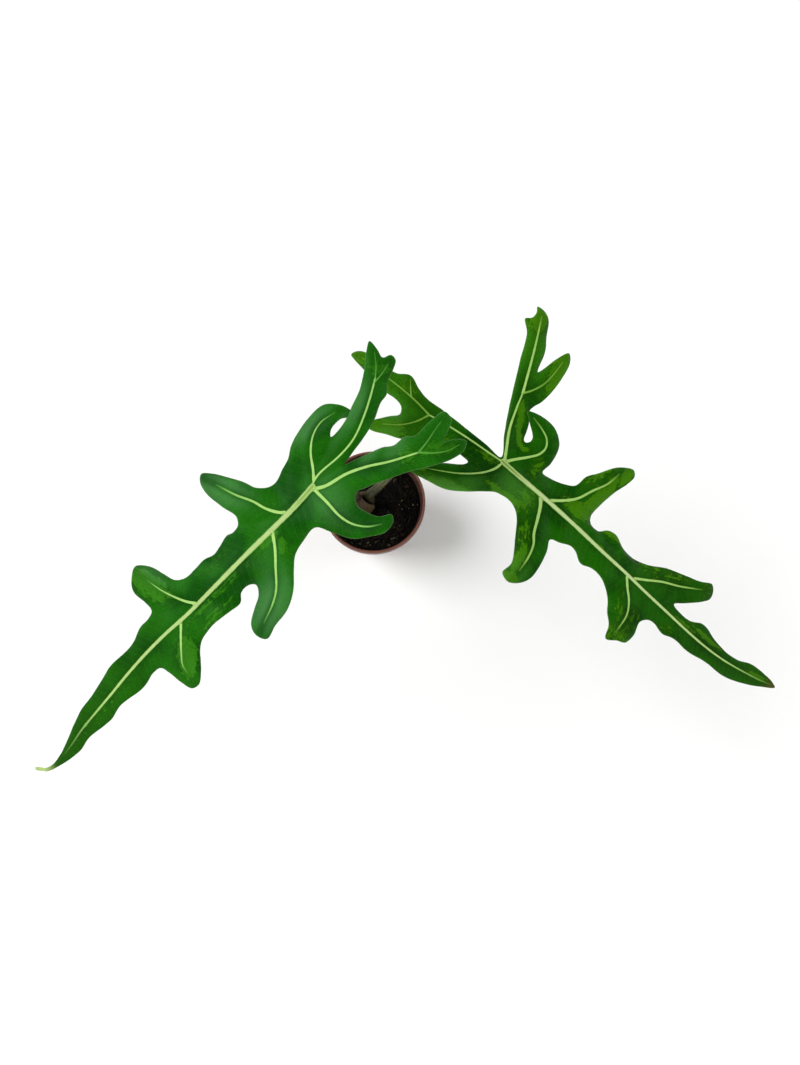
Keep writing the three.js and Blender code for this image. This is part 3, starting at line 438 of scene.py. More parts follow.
def curve(corners, step, closed=False):
    points = [np.array(p, float) for p in corners]
    if closed:
        points = [points[-1], *points, points[0], points[1]]
    else:
        points = [2 * points[0] - points[1], *points, 2 * points[-1] - points[-2]]
    stretches = []
    for p0, p1, p2, p3 in zip(points, points[1:], points[2:], points[3:]):
        count = max(1, round(norm(p2 - p1) / step))
        stretches.append(curve_stretch(p0, p1, p2, p3, count))
    if not closed:
        stretches.append(points[-2][None])
    return np.concatenate(stretches)


def evenly(points, count):
    """The line through points, cut into count even steps, with each new point's share of the length."""
    steps = norm(np.diff(points, axis=0), axis=1)
    along = np.concatenate([[0], np.cumsum(steps)])
    share = np.linspace(0, 1, count + 1)
    found = [np.interp(share * along[-1], along, points[:, k]) for k in range(points.shape[1])]
    return np.stack(found, 1), share


def tube(route, sides, steps, radius_at, end=0.5):
    """Points and faces of a closed tube with round ends, and each ring's share of its length.

    radius_at gives the radius at a share of the length, and end is how far an end stands out, in radii.
    """
    middle, share = evenly(curve(route, 1.0), steps)
    tangents = np.gradient(middle, axis=0)
    tangents /= norm(tangents, axis=1)[:, None]
    normal = np.cross(tangents[0], (0, 1, 0))
    radii, turns = [radius_at(s) for s in share], circle(sides)
    rings = []
    for centre, tangent, radius in zip(middle, tangents, radii):
        normal = normal - tangent * (normal @ tangent)
        normal /= norm(normal)
        side = np.cross(tangent, normal)
        rings.append(centre + radius * (turns[:, :1] * normal + turns[:, 1:] * side))
    low, high = middle[0] - tangents[0] * radii[0] * end, middle[-1] + tangents[-1] * radii[-1] * end
    # The ring before each end is narrower, and lies part of the way to the end
    narrow, out = 0.7, 0.6
    first = middle[0] + (rings[0] - middle[0]) * narrow + (low - middle[0]) * out
    last = middle[-1] + (rings[-1] - middle[-1]) * narrow + (high - middle[-1]) * out
    rings = [first, *rings, last]
    points = np.array([*np.concatenate(rings), low, high])
    return points, capped_faces(len(rings), sides), np.concatenate([[0], share, [1]])


def lathe(profile, sides):
    """A solid turned about +Z; the profile runs anticlockwise in (radius, height), from axis to axis."""
    points = [(r * c, r * s, z) for r, z in profile[1:-1] for c, s in circle(sides)]
    points += [(0, 0, profile[0][1]), (0, 0, profile[-1][1])]
    return points, capped_faces(len(profile) - 2, sides)


def arc(middle, radius, start, end, count=6):
    """Points on an arc in a profile, in degrees."""
    turns = np.radians(np.linspace(start, end, count))
    return [(middle[0] + radius * math.cos(a), middle[1] + radius * math.sin(a)) for a in turns]


# Blades
def nearest_on_lines(points, starts, ends):
    """Each point's distance to the nearest of many segments, which one it is, and how far along it."""
    distance, index, share = (np.zeros(len(points)) for _ in range(3))
    direction = ends - starts
    length = (direction**2).sum(1)
    for i in range(0, len(points), MESH.batch):
        some = slice(i, i + MESH.batch)
        away = points[some, None] - starts
        t = np.clip((away * direction).sum(2) / length, 0, 1)
        gap = norm(away - t[..., None] * direction, axis=2)
        best = gap.argmin(1)
        rows = np.arange(len(best))
        distance[some], index[some], share[some] = gap[rows, best], best, t[rows, best]
    return distance, index.astype(int), share


def inside(points, outline):
    """Which points lie inside a closed outline."""
    found = np.zeros(len(points), bool)
    x, y = points.T
    for (ax, ay), (bx, by) in zip(outline, np.roll(outline, -1, 0)):
        if ay != by:
            found ^= ((ay > y) != (by > y)) & (x < (bx - ax) * (y - ay) / (by - ay) + ax)
    return found


class Veins:
    """The veins of one blade, as chains of segments that carry half width, length, share and number."""

    def __init__(self, leaf):
        self.chains, starts, ends, facts, last = [], [], [], [], []
        for number, (wide, narrow, route) in enumerate(leaf.veins):
            line = curve(route, MESH.route)
            length = norm(np.diff(line, axis=0), axis=1).sum()
            points, share = evenly(line, max(4, round(length / MESH.vein)))
            half = wide + (narrow - wide) * share
            self.chains.append((points, half))
            starts.append(points[:-1])
            ends.append(points[1:])
            facts.append(np.stack([half, share * length, share, np.full(len(share), number)], 1))
            last += [False] * (len(points) - 2) + [True]
        self.starts, self.ends = np.concatenate(starts), np.concatenate(ends)
        self.low = np.concatenate([f[:-1] for f in facts])
        self.high = np.concatenate([f[1:] for f in facts])
        self.last, self.midrib = np.array(last), len(starts[0])

    def near(self, points):
        """For the nearest vein its distance, half width, share and number, then the place in its flow.

        The midrib keeps its own width where a side vein joins it, and the flow runs on past a vein's end.
        """
        nearest = nearest_on_lines(points, self.starts, self.ends)
        midrib = nearest_on_lines(points, self.starts[: self.midrib], self.ends[: self.midrib])
        own = midrib[0] < self.low[midrib[1], 0]
        distance, index, t = np.where(own, midrib, nearest)
        index = index.astype(int)
        half, length, share, number = (self.low[index] + (self.high[index] - self.low[index]) * t[:, None]).T
        way = self.ends[index] - self.starts[index]
        past = ((points - self.ends[index]) * way).sum(1) / norm(way, axis=1)
        past = np.where(self.last[index], np.maximum(past, 0), 0)
        aside = np.sqrt(np.maximum(distance**2 - past**2, 0))
        return distance, half, share, number.astype(int), length + past, aside


class Spread:
    """Keeps offered points that lie a given room apart."""

    def __init__(self, cell):
        self.cell, self.cells, self.points = cell, {}, []

    def offer(self, x, y, room):
        column, row = math.floor(x / self.cell), math.floor(y / self.cell)
        for i in range(column - 1, column + 2):
            for j in range(row - 1, row + 2):
                for u, v in self.cells.get((i, j), ()):
                    if (u - x) ** 2 + (v - y) ** 2 < room * room:
                        return None
        self.cells.setdefault((column, row), []).append((x, y))
        self.points.append((x, y))
        return len(self.points) - 1


def beside(points, reach):
    """Points on both sides of a line, at the given distances from it."""
    along = np.gradient(points, axis=0)
    across = np.stack([-along[:, 1], along[:, 0]], 1) / norm(along, axis=1)[:, None]
    reach = np.broadcast_to(reach, len(points))[:, None]
    return points + across * reach, points - across * reach


def open_points(low, high, step):
    """Even rows of points over a rectangle, every other row half a step aside."""
    lines = []
    for row, y in enumerate(np.arange(low[1], high[1], step * MESH.row)):
        line = np.arange(low[0] + (row % 2) * step / 2, high[0], step)
        lines.append(np.stack([line, np.full(len(line), y)], 1))
    return np.concatenate(lines)


def rib_reach(half):
    """How far the rib under a vein of this half width spreads to each side."""
    return BLADE.rib_spread * half + BLADE.rib_foot


def blade_plan(leaf, veins):
    """The blade's flat mesh: its points, its triangles and its outline."""
    outline = curve(leaf.margin, MESH.edge, closed=True)
    ends = np.roll(outline, -1, 0)
    spread = Spread(MESH.grid)
    for x, y in outline:
        spread.offer(x, y, 0)
    edges = [(i, (i + 1) % len(outline)) for i in range(len(outline))]

    def offer(points, least, room):
        kept = inside(points, outline) & (nearest_on_lines(points, outline, ends)[0] >= least)
        return [spread.offer(x, y, room) for x, y in points[kept].tolist()]

    for points, _ in veins.chains:
        found = [i for i in offer(points, MESH.room, MESH.room) if i is not None]
        edges += zip(found, found[1:])
    for points, half in veins.chains:
        for reach in (half, rib_reach(half)):
            for line in beside(points, reach):
                offer(line, MESH.room, MESH.room)
    for depth in MESH.rings:
        offer(beside(outline, depth)[0], depth * MESH.ring_share, MESH.room)
    offer(open_points(outline.min(0), outline.max(0), MESH.grid), MESH.open_room, MESH.open_room)
    flat = [Vector(p) for p in spread.points]
    whole, inside_only = [list(range(len(outline)))], 1
    points, _, faces, *_ = delaunay_2d_cdt(flat, edges, whole, inside_only, MESH.merge)
    return np.array([tuple(p) for p in points]), faces, outline


def blade_arch(leaf, x, y):
    """The blade's broad form: folded up along its midrib and drooping to its tip, rear and sides."""
    tip = leaf.tip_droop * (np.maximum(y, 0) / leaf.tip_reach) ** 2
    rear = leaf.rear_droop * (np.maximum(-y, 0) / leaf.rear_reach) ** 2
    side = BLADE.side_droop * (x / BLADE.side_reach) ** 2
    fold = BLADE.fold * (np.hypot(x, BLADE.fold_width) - BLADE.fold_width) / BLADE.side_reach
    return fold - tip - rear - side


def edge_wave(leaf, x, y, distance):
    """Slow waves of the blade's edge, which fade towards the veins."""
    free = smoothstep(distance, BLADE.wave_start, BLADE.wave_full)
    along = y + BLADE.wave_skew * np.abs(x)
    phase = 2 * math.pi * along / leaf.wave_length + leaf.wave_phase * np.sign(x)
    return leaf.wave * free * np.sin(phase)


def flat_noise(points, size, seed):
    """Soft noise from about -1 to 1 over flat points, with swells of about the given size."""
    gain = 1.6
    return np.array([noise(Vector((x / size, y / size, seed))) for x, y in points]) * gain


def blade_top(leaf, plan, distance, margin, along, aside):
    """Height of the blade's upper face, with its low relief between and beside the veins."""
    ease, seed = RELIEF.droop_ease, leaf.seed
    puff = RELIEF.puff * (1 - np.exp(-distance / RELIEF.puff_reach))
    droop = RELIEF.droop * (distance + ease * (np.exp(-distance / ease) - 1))
    curl = RELIEF.curl * np.clip(1 - margin / RELIEF.curl_reach, 0, 1) ** 2
    ruffle = RELIEF.ruffle * flat_noise(plan, RELIEF.ruffle_size, seed)
    ruffle = ruffle * np.exp(-margin / RELIEF.ruffle_reach)
    uneven = RELIEF.uneven * flat_noise(plan, RELIEF.uneven_size, seed + RELIEF.uneven_shift)
    uneven = uneven * smoothstep(distance, *RELIEF.uneven_away)
    wave = np.cos(2 * math.pi * (along - RELIEF.side_slant * aside) / RELIEF.side_pitch)
    fine = RELIEF.side_vein * wave * smoothstep(distance, *RELIEF.side_away)
    fine = fine * smoothstep(margin, *RELIEF.side_margin)
    broad = blade_arch(leaf, *plan.T) + edge_wave(leaf, *plan.T, distance)
    return broad + puff - droop - curl + ruffle + uneven + fine


def blade_faces(leaf, plan, top, distance, half, margin):
    """Points of the upper and lower face: veins stand up, ribs hang down, and both meet at the margin."""
    depth = np.clip(margin / BLADE.edge_round, 0, 1)
    full = np.maximum(np.sqrt(1 - (1 - depth) ** 2), BLADE.least_edge)
    ratio = distance / half
    crest = RELIEF.crest * half * np.clip(1 - (ratio / RELIEF.crest_reach) ** 2, 0, 1)
    groove = RELIEF.groove * np.exp(-(((ratio - RELIEF.groove_at) / RELIEF.groove_width) ** 2))
    groove = groove * smoothstep(half, *RELIEF.groove_half)
    rib = BLADE.rib * half * np.clip(1 - (distance / rib_reach(half)) ** 2, 0, 1)
    thick = BLADE.thick / 2
    middle = top - thick
    upper = np.column_stack([plan, middle + thick * full + (crest - groove) * full])
    lower = np.column_stack([plan, middle - thick * full - rib * full])
    return tucked(leaf, plan, upper), tucked(leaf, plan, lower)


def tucked(leaf, plan, points):
    """Moves the end of one lobe so that it lies against the rear lobe beside it."""
    away = norm(plan - np.array(leaf.tuck_at, float), axis=1)
    near = 1 - smoothstep(away, RELIEF.tuck_full, leaf.tuck_reach)
    weight = near * inside(plan, np.array(leaf.tuck_zone, float))
    return points + weight[:, None] * np.array(leaf.tuck_by, float)


def placed(leaf, points):
    """Points of the blade's own frame, put where the blade is on the plant."""
    pitch = Euler((-math.radians(leaf.pitch), 0, 0)).to_matrix()
    heading = Euler((0, 0, math.radians(leaf.heading - 90))).to_matrix()
    return points @ np.array(heading @ pitch).T + np.array(leaf.joint, float)


def vein_marks(leaf, share, number):
    """How plainly each point's vein shows, how far it is in its outer colour, and where the midrib is."""
    roots = {route[0] for _, _, route in leaf.veins}
    forked = np.array([route[-1] in roots for _, _, route in leaf.veins])[number]
    outer = np.array([root < VEIN.outer_half for root, _, _ in leaf.veins])[number]
    kinds = [number == 0, forked, outer]
    faded = leaf.tones.outer_veins - VEIN.outer_fade * share
    shows = [1 - smoothstep(share, *leaf.tones.midrib_ends), 1, faded]
    return {
        "vein_show": np.select(kinds, shows, 1 - VEIN.end_fade * smoothstep(share, VEIN.end, 1)),
        "outward": np.select(kinds, [0, VEIN.fork_change * share, 1], share**2),
        "midrib": (number == 0) * (1 - smoothstep(share, *VEIN.midrib_end)),
    }


def spot_strength(spots, x, y):
    """How strong a colour given by soft oval spots is at each point."""
    strength = np.zeros(len(x))
    for px, py, long, wide, degrees, most in spots:
        c, s = math.cos(math.radians(degrees)), math.sin(math.radians(degrees))
        u, v = (x - px) * c + (y - py) * s, (y - py) * c - (x - px) * s
        out = (u / long) ** 2 + (v / wide) ** 2
        strength = np.maximum(strength, most * np.exp(-(out**SKIN.spot_power) * SKIN.spot_fall))
    return strength


def skin_marks(leaf, x, y):
    """Where the skin changes colour: its rear, end and tip, its patches, and its painted sheen and painted
    shade.
    """
    behind = smoothstep(SKIN.rear_side * np.abs(x) - y, 0, SKIN.rear_blend)
    return {
        "rear": smoothstep(np.hypot(x, y), *SKIN.rear) * behind,
        "endward": smoothstep(y, *SKIN.end), "tip": smoothstep(y, *SKIN.tip),
        **{name: spot_strength(getattr(leaf, name), x, y) for name in ("patch", "bloom", "shade")},
    }


def build_blade(leaf, material):
    veins = Veins(leaf)
    plan, faces, outline = blade_plan(leaf, veins)
    distance, half, share, number, along, aside = veins.near(plan)
    margin = nearest_on_lines(plan, outline, np.roll(outline, -1, 0))[0]
    top = blade_top(leaf, plan, distance, margin, along, aside)
    points = placed(leaf, np.concatenate(blade_faces(leaf, plan, top, distance, half, margin)))
    count, name, slot = len(plan), leaf.name, leaf.blade_slot
    solid = two_sided(faces, count)
    piece = make_piece(f"{name}_leaf_blade", points, solid, material, f"{name}_blade")
    marks = {
        "place": np.column_stack([plan, np.full(count, SKIN.blade_apart * leaf.seed)]),
        "flow": np.column_stack([along, aside, number * SKIN.vein_apart]),
        "vein_ratio": np.minimum(distance / half, VEIN.told), "margin": margin,
        **vein_marks(leaf, share, number), **skin_marks(leaf, *plan.T),
    }
    for mark, values in marks.items():
        store(piece, mark, np.concatenate([values, values]))
    store(piece, "under", np.repeat([0, 1], count))


# Stalks
def stalk_route(leaf):
    """The stalk's middle line, which ends square to the blade, inside the root of its midrib."""
    x, y = leaf.foot
    under = blade_arch(leaf, x, y) - BLADE.thick - PETIOLE.seat
    ends = placed(leaf, np.array([(x, y, under - PETIOLE.upright), (x, y, under)]))
    return [*leaf.stalk, *ends]


def stalk_radius(share):
    taper = PETIOLE.base + (PETIOLE.top - PETIOLE.base) * math.sqrt(share)
    swell = PETIOLE.swell * smoothstep(share, PETIOLE.swell_start, 1)
    return taper + swell + PETIOLE.flare * (1 - smoothstep(share, 0, PETIOLE.flare_end))


def build_stalk(leaf, material):
    sides, name = PETIOLE.sides, leaf.name
    points, faces, rows = tube(stalk_route(leaf), sides, PETIOLE.steps, stalk_radius, PETIOLE.end)
    piece = make_piece(f"{name}_leaf_stalk", points, faces, material, f"{name}_petiole")
    share = np.concatenate([np.repeat(rows, sides), [0, 1]])
    around = np.concatenate([np.tile(circle(sides) * PETIOLE.base, (len(rows), 1)), np.zeros((2, 2))])
    store(piece, "share", share)
    store(piece, "skin", np.column_stack([around, share * PETIOLE.length]))


# Stem and sheath
def build_stem(material):
    """A stub ringed by leaf scars, with a domed top that the stalks grow from."""
    low, high = STEM.foot, STEM.top
    points = []
    for z in np.linspace(low, high, STEM.rows):
        scar = STEM.scar_depth * (0.5 + 0.5 * math.sin(2 * math.pi * z / STEM.scar_pitch)) ** STEM.scar_power
        dome = math.sqrt(max(0.0, 1 - max(0.0, (z - high + STEM.dome) / STEM.dome) ** 2))
        narrow = STEM.dome_share + (1 - STEM.dome_share) * dome
        narrow *= STEM.taper_share + (1 - STEM.taper_share) * smoothstep(z, low, low + STEM.taper)
        for c, s in circle(STEM.sides):
            r = (STEM.radius - STEM.slack + scar + relief((c, s, z), STEM.grain)) * narrow
            points.append((STEM.x + r * c, STEM.y + r * s, z))
    points += [(STEM.x, STEM.y, low), (STEM.x, STEM.y, high + STEM.crown)]
    make_piece("stem_stub", points, capped_faces(STEM.rows, STEM.sides), material, "stem")


def sheath_point(around, up, outward):
    """A point of the dry sheath, which leans in on the stalks; outward is 0 inside and 1 outside."""
    angle = math.radians(SHEATH.start + (SHEATH.end - SHEATH.start) * around)
    arch, tall = math.sin(math.pi * around), SHEATH.high - SHEATH.low
    height = SHEATH.shoulder + (tall - SHEATH.shoulder) * arch**SHEATH.point
    if up > 0.5:
        height *= 1 + relief((around, 0, 0), SHEATH.torn)
    free = max(0, up * height - SHEATH.lean_from) / (tall - SHEATH.lean_from)
    lean = SHEATH.lean * arch * free**SHEATH.lean_power
    full = min(1, SHEATH.side_slope * around, SHEATH.side_slope * (1 - around))
    wall = SHEATH.wall * (SHEATH.side_share + (1 - SHEATH.side_share) * full)
    wall *= 1 - (1 - SHEATH.top_share) * up
    radius = SHEATH.inner + SHEATH.clear - lean + relief((around, up, 0), SHEATH.fibres) + outward * wall
    return STEM.x + radius * math.cos(angle), STEM.y + radius * math.sin(angle), SHEATH.low + up * height


def build_sheath(material):
    columns, rows = SHEATH.columns, SHEATH.rows
    grid = [(c / (columns - 1), r / (rows - 1)) for r in range(rows) for c in range(columns)]
    flow = [(around, up, outward) for outward in (0, 1) for around, up in grid]
    inner = [face[::-1] for face in grid_faces(rows, columns, closed=False)]
    points, faces = [sheath_point(*place) for place in flow], two_sided(inner, len(grid))
    piece = make_piece("dry_leaf_sheath", points, faces, material, "sheath")
    store(piece, "flow", flow)


# Pot
def wall_radius(z):
    slope = (POT.rim - POT.lip_width - POT.foot) / (POT.height - POT.lip_depth)
    return POT.foot + slope * z


def inner_radius(z):
    return min(wall_radius(z) - POT.wall, POT.rim - POT.lip_width)


def pot_profile():
    """The pot's section: under its raised floor, up the outside and over the lip, then down the inside."""
    rim, height, wall, soft, small = POT.rim, POT.height, POT.wall, POT.soft, POT.small_round
    boss, inner, outer, rise, raised = DRAIN.boss, DRAIN.inner, DRAIN.outer, DRAIN.rise, DRAIN.rise + wall
    lip_low, bevel = height - POT.lip_depth, POT.lip_round
    return [
        (0, 0), (boss - soft, 0), (boss + soft / 2, soft), (inner - soft / 2, rise - soft),
        (inner + soft, rise), (outer - soft, rise), (outer + soft / 2, rise - soft),
        (outer + wall - soft / 2, soft), (outer + wall + soft, 0),
        *arc((POT.foot - POT.foot_round, POT.foot_round), POT.foot_round, -90, 0),
        *[(wall_radius(z), z) for z in POT.levels],
        (wall_radius(lip_low) - soft / 2, lip_low - POT.lip_step),
        (wall_radius(lip_low) + 0.75 * soft, lip_low),
        *arc((rim - small, lip_low + small), small, -90, 0, 5),
        *arc((rim - bevel, height - bevel), bevel, 0, 90, 8),
        *arc((rim - bevel - soft, height - small), small, 90, 180, 5),
        (inner_radius(height - POT.inner_lip) - soft / 2, height - POT.inner_lip),
        (inner_radius(lip_low), lip_low),
        *[(inner_radius(z), z) for z in reversed(POT.levels)],
        (inner_radius(wall + small), wall + small), (inner_radius(wall) - small, wall),
        (outer + DRAIN.outer_slope * wall, wall), (outer, raised), (inner, raised),
        (boss - DRAIN.boss_slope * wall, wall), (0, wall),
    ]


def drain_cutter():
    """Rods that stand where the drain holes are."""
    rods = bmesh.new()
    radius, reach = DRAIN.radius * MM, DRAIN.circle * MM
    for i in range(DRAIN.holes):
        angle = 2 * math.pi * (i + 0.5) / DRAIN.holes
        at = Matrix.Translation((reach * math.cos(angle), reach * math.sin(angle), 0))
        bmesh.ops.create_cone(rods, cap_ends=True, segments=DRAIN.sides, radius1=radius, radius2=radius,
                              depth=DRAIN.cutter * MM, matrix=at)
    mesh = bpy.data.meshes.new("drain_holes")
    rods.to_mesh(mesh)
    rods.free()
    return add_object("drain_holes", mesh)


def build_pot(material):
    points, faces = lathe(pot_profile(), POT.sides)
    piece = make_piece("nursery_pot", points, faces, material, "pot")
    cutter = drain_cutter()
    cut = piece.modifiers.new("holes", "BOOLEAN")
    cut.object, cut.operation, cut.solver = cutter, "DIFFERENCE", "EXACT"
    mesh = bpy.data.meshes.new_from_object(piece.evaluated_get(bpy.context.evaluated_depsgraph_get()))
    piece.modifiers.clear()
    piece.data = mesh
    bpy.data.objects.remove(cutter)
    mesh.shade_smooth()
    mesh.set_sharp_from_angle(angle=math.radians(POT.sharp_degrees))
    x, y, z = np.array([v.co for v in mesh.vertices]).T / MM
    bound = np.array([wall_radius(height) - POT.wall / 2 for height in z])
    above, below = z > POT.wall - POT.soft / 2, z < POT.height - POT.rubbed
    store(piece, "within", (np.hypot(x, y) < bound) & above & below)


# Soil
def soil_height(x, y):
    """The potting mix's surface: a low crown, uneven with lumps of several sizes."""
    out = math.hypot(x, y) / inner_radius(SOIL.top)
    lumps = relief((x, y, 0), SOIL.lumps)
    return SOIL.top + SOIL.crown * (1 - out**2) + lumps * (1 - SOIL.calm * out**6) - SOIL.gap


def build_soil(material):
    around, gap, circles = SOIL.around, SOIL.gap, circle(SOIL.around)
    low, edge = DRAIN.rise + POT.wall + gap, SOIL.top - SOIL.edge
    middle = np.array((STEM.x, STEM.y))

    def ring(flat, z=None):
        heights = [soil_height(x, y) for x, y in flat] if z is None else np.full(around, z)
        return np.column_stack([flat, heights])

    socket = middle + (STEM.radius + STEM.scar_depth + gap) * circles
    inner, outer = middle + STEM.radius * circles, (inner_radius(SOIL.top) - SOIL.seam) * circles
    rows = [ring(socket, z) for z in np.linspace(STEM.foot - gap, edge, SOIL.socket_rings)]
    rows += [ring(inner + (outer - inner) * s) for s in np.linspace(0, 1, SOIL.rings)]
    heights = np.linspace(edge, low + SOIL.bevel, SOIL.wall_rings)
    rows += [ring((inner_radius(z) - gap) * circles, z) for z in heights]
    rows.append(ring((inner_radius(low) - gap - SOIL.bevel) * circles, low))
    points = [*np.concatenate(rows), (*middle, STEM.foot - gap), (0, 0, low)]
    make_piece("potting_mix", points, capped_faces(len(rows), around), material, "soil")


def unit_ball(level):
    ball = bmesh.new()
    bmesh.ops.create_icosphere(ball, subdivisions=level, radius=1)
    points = np.array([v.co for v in ball.verts])
    faces = [[v.index for v in f.verts] for f in ball.faces]
    ball.free()
    return points, faces


def chip(ball, kind, rng, number):
    """A lumpy ball with flats cut on it and a size of 1, squeezed to the kind's shape."""
    shift = Vector((number * CHIP.apart, 0, 0))
    bumps = np.array([1 + kind.rough * noise(Vector(p) * CHIP.swells + shift) for p in ball])
    points = ball * bumps[:, None]
    for _ in range(kind.cuts):
        way = rng.normal(0, 1, 3)
        way /= norm(way)
        proud = np.maximum(points @ way - rng.uniform(*CHIP.cut), 0)
        points = points - proud[:, None] * way
    return points * (1, rng.uniform(*CHIP.width), rng.uniform(*kind.flat))


def open_place(rng, size):
    """A place on the soil, clear of the stem and the pot."""
    reach, clear = inner_radius(SOIL.top) - CHIP.rim_room - size, STEM.radius + size * CHIP.stem_room
    while True:
        x, y = rng.uniform(-reach, reach, 2)
        if math.hypot(x, y) < reach and math.hypot(x - STEM.x, y - STEM.y) > clear:
            return x, y


class Litter:
    """Many small bits that are made into one piece, each with its own tint."""

    def __init__(self):
        self.points, self.faces, self.tint = [], [], []

    def add(self, points, faces, tint):
        self.faces += [[i + len(self.points) for i in face] for face in faces]
        self.points += list(points)
        self.tint += [tint] * len(points)

    def finish(self, kind):
        piece = make_piece(kind.name, self.points, self.faces, crumb_look(kind))
        store(piece, "tint", self.tint)


def scatter(rng, kind):
    """Bits of one kind lying on the soil, each turned its own way."""
    ball, faces = unit_ball(kind.level)
    litter = Litter()
    least, most = kind.sizes
    for number in range(kind.count):
        size = least + (most - least) * rng.random() ** 2
        x, y = open_place(rng, size)
        if number < len(kind.spots):
            x, y, size = kind.spots[number]
        tilts = rng.normal(0, CHIP.tilt), rng.normal(0, CHIP.tilt)
        turn = Euler((*tilts, rng.uniform(0, 2 * math.pi))).to_matrix()
        made = chip(ball, kind, rng, number) * size @ np.array(turn).T
        lift = soil_height(x, y) - made[:, 2].min() - size * kind.sunk
        litter.add(made + (x, y, lift), faces, rng.random())
    litter.finish(kind)


def scatter_fibres(rng):
    """Fine strands of coir that lie on the soil."""
    litter = Litter()
    for _ in range(FIBRES.count):
        length = rng.uniform(*FIBRES.length)
        x, y = open_place(rng, length)
        heading, step = rng.uniform(0, 2 * math.pi), length / FIBRES.bends
        route = []
        for _ in range(FIBRES.bends + 1):
            route.append((x, y, soil_height(x, y) + rng.uniform(*FIBRES.lift)))
            heading += rng.normal(0, FIBRES.sway)
            x, y = x + step * math.cos(heading), y + step * math.sin(heading)
        radius = FIBRES.radius * rng.uniform(*FIBRES.thick)
        points, faces, _ = tube(route, FIBRES.sides, 3 * FIBRES.bends, lambda share: radius)
        litter.add(points, faces, rng.random())
    litter.finish(FIBRES)


# Materials
def linear(colour):
    """A linear colour from an sRGB one of 0 to 255."""
    return (*[((c / 255 + 0.055) / 1.055) ** 2.4 if c > 10 else c / 3294.6 for c in colour], 1)


class Nodes:
    """Short ways to add nodes. A value is a number, a vector, an sRGB colour or another node's output."""

    def __init__(self, tree):
        self.tree = tree

    def put(self, socket, value):
        if isinstance(value, bpy.types.NodeSocket):
            self.tree.links.new(value, socket)
        else:
            socket.default_value = linear(value) if socket.type == "RGBA" else value

    def add(self, kind, inputs, output=0, **settings):
        node = self.tree.nodes.new(kind)
        for key, value in settings.items():
            setattr(node, key, value)
        for key, value in inputs.items():
            self.put(node.inputs[key], value)
        return node.outputs[output]

    def part(self, at, axis):
        return self.add("ShaderNodeSeparateXYZ", {0: at}, axis)

    def calc(self, operation, *values):
        return self.add("ShaderNodeMath", dict(enumerate(values)), operation=operation)


class Look(Nodes):
    """A material in the making."""

    def __init__(self, name, specular=0.5):
        self.material = bpy.data.materials.new(name)
        self.material.use_nodes = True
        super().__init__(self.material.node_tree)
        self.shader = self.tree.nodes["Principled BSDF"]
        self.shader.inputs["Specular IOR Level"].default_value = specular

    def number(self, name):
        return self.add("ShaderNodeAttribute", {}, "Fac", attribute_name=name)

    def vector(self, name):
        return self.add("ShaderNodeAttribute", {}, "Vector", attribute_name=name)

    def place(self):
        """The point on the piece, in millimetres."""
        return self.scaled(self.add("ShaderNodeTexCoord", {}, "Object"), (1000, 1000, 1000))

    def scaled(self, at, by):
        return self.add("ShaderNodeVectorMath", {0: at, 1: by}, operation="MULTIPLY")

    def times(self, first, second):
        return self.calc("MULTIPLY", first, second)

    def noise(self, at, size, detail=2.0, roughness=0.5):
        """Soft noise from 0 to 1, with swells of about the given size in the units of at."""
        inputs = {"Vector": at, "Scale": 1 / size, "Detail": detail, "Roughness": roughness}
        return self.add("ShaderNodeTexNoise", inputs)

    def cells(self, at, size):
        """A number from 0 to 1 for each of many small cells."""
        return self.part(self.add("ShaderNodeTexVoronoi", {"Vector": at, "Scale": 1 / size}, "Color"), "X")

    def step(self, value, low, high, start=0.0, end=1.0):
        """A smooth step, from start where the value is low to end where it is high."""
        inputs = {0: value, 1: low, 2: high, 3: start, 4: end}
        return self.add("ShaderNodeMapRange", inputs, interpolation_type="SMOOTHSTEP")

    def vary(self, noise, start=0.0, end=1.0):
        """Spreads the middle range of a noise over start to end."""
        return self.step(noise, 0.3, 0.7, start, end)

    def mix(self, share, first, second):
        return self.add("ShaderNodeMix", {0: share, 6: first, 7: second}, 2, data_type="RGBA")

    def shaded(self, colour, strength):
        """The colour made darker or lighter."""
        return self.add("ShaderNodeVectorMath", {0: colour, "Scale": strength}, operation="SCALE")

    def finish(self, colour, roughness, *layers):
        """Sets colour, roughness and layers of fine relief: a height from 0 to 1 and its depth each."""
        self.put(self.shader.inputs["Base Color"], colour)
        self.put(self.shader.inputs["Roughness"], roughness)
        for height, depth in layers:
            inputs = {"Height": height, "Strength": 1.0, "Distance": depth * MM}
            if self.shader.inputs["Normal"].is_linked:
                inputs["Normal"] = self.shader.inputs["Normal"].links[0].from_socket
            self.put(self.shader.inputs["Normal"], self.add("ShaderNodeBump", inputs))
        return self.material


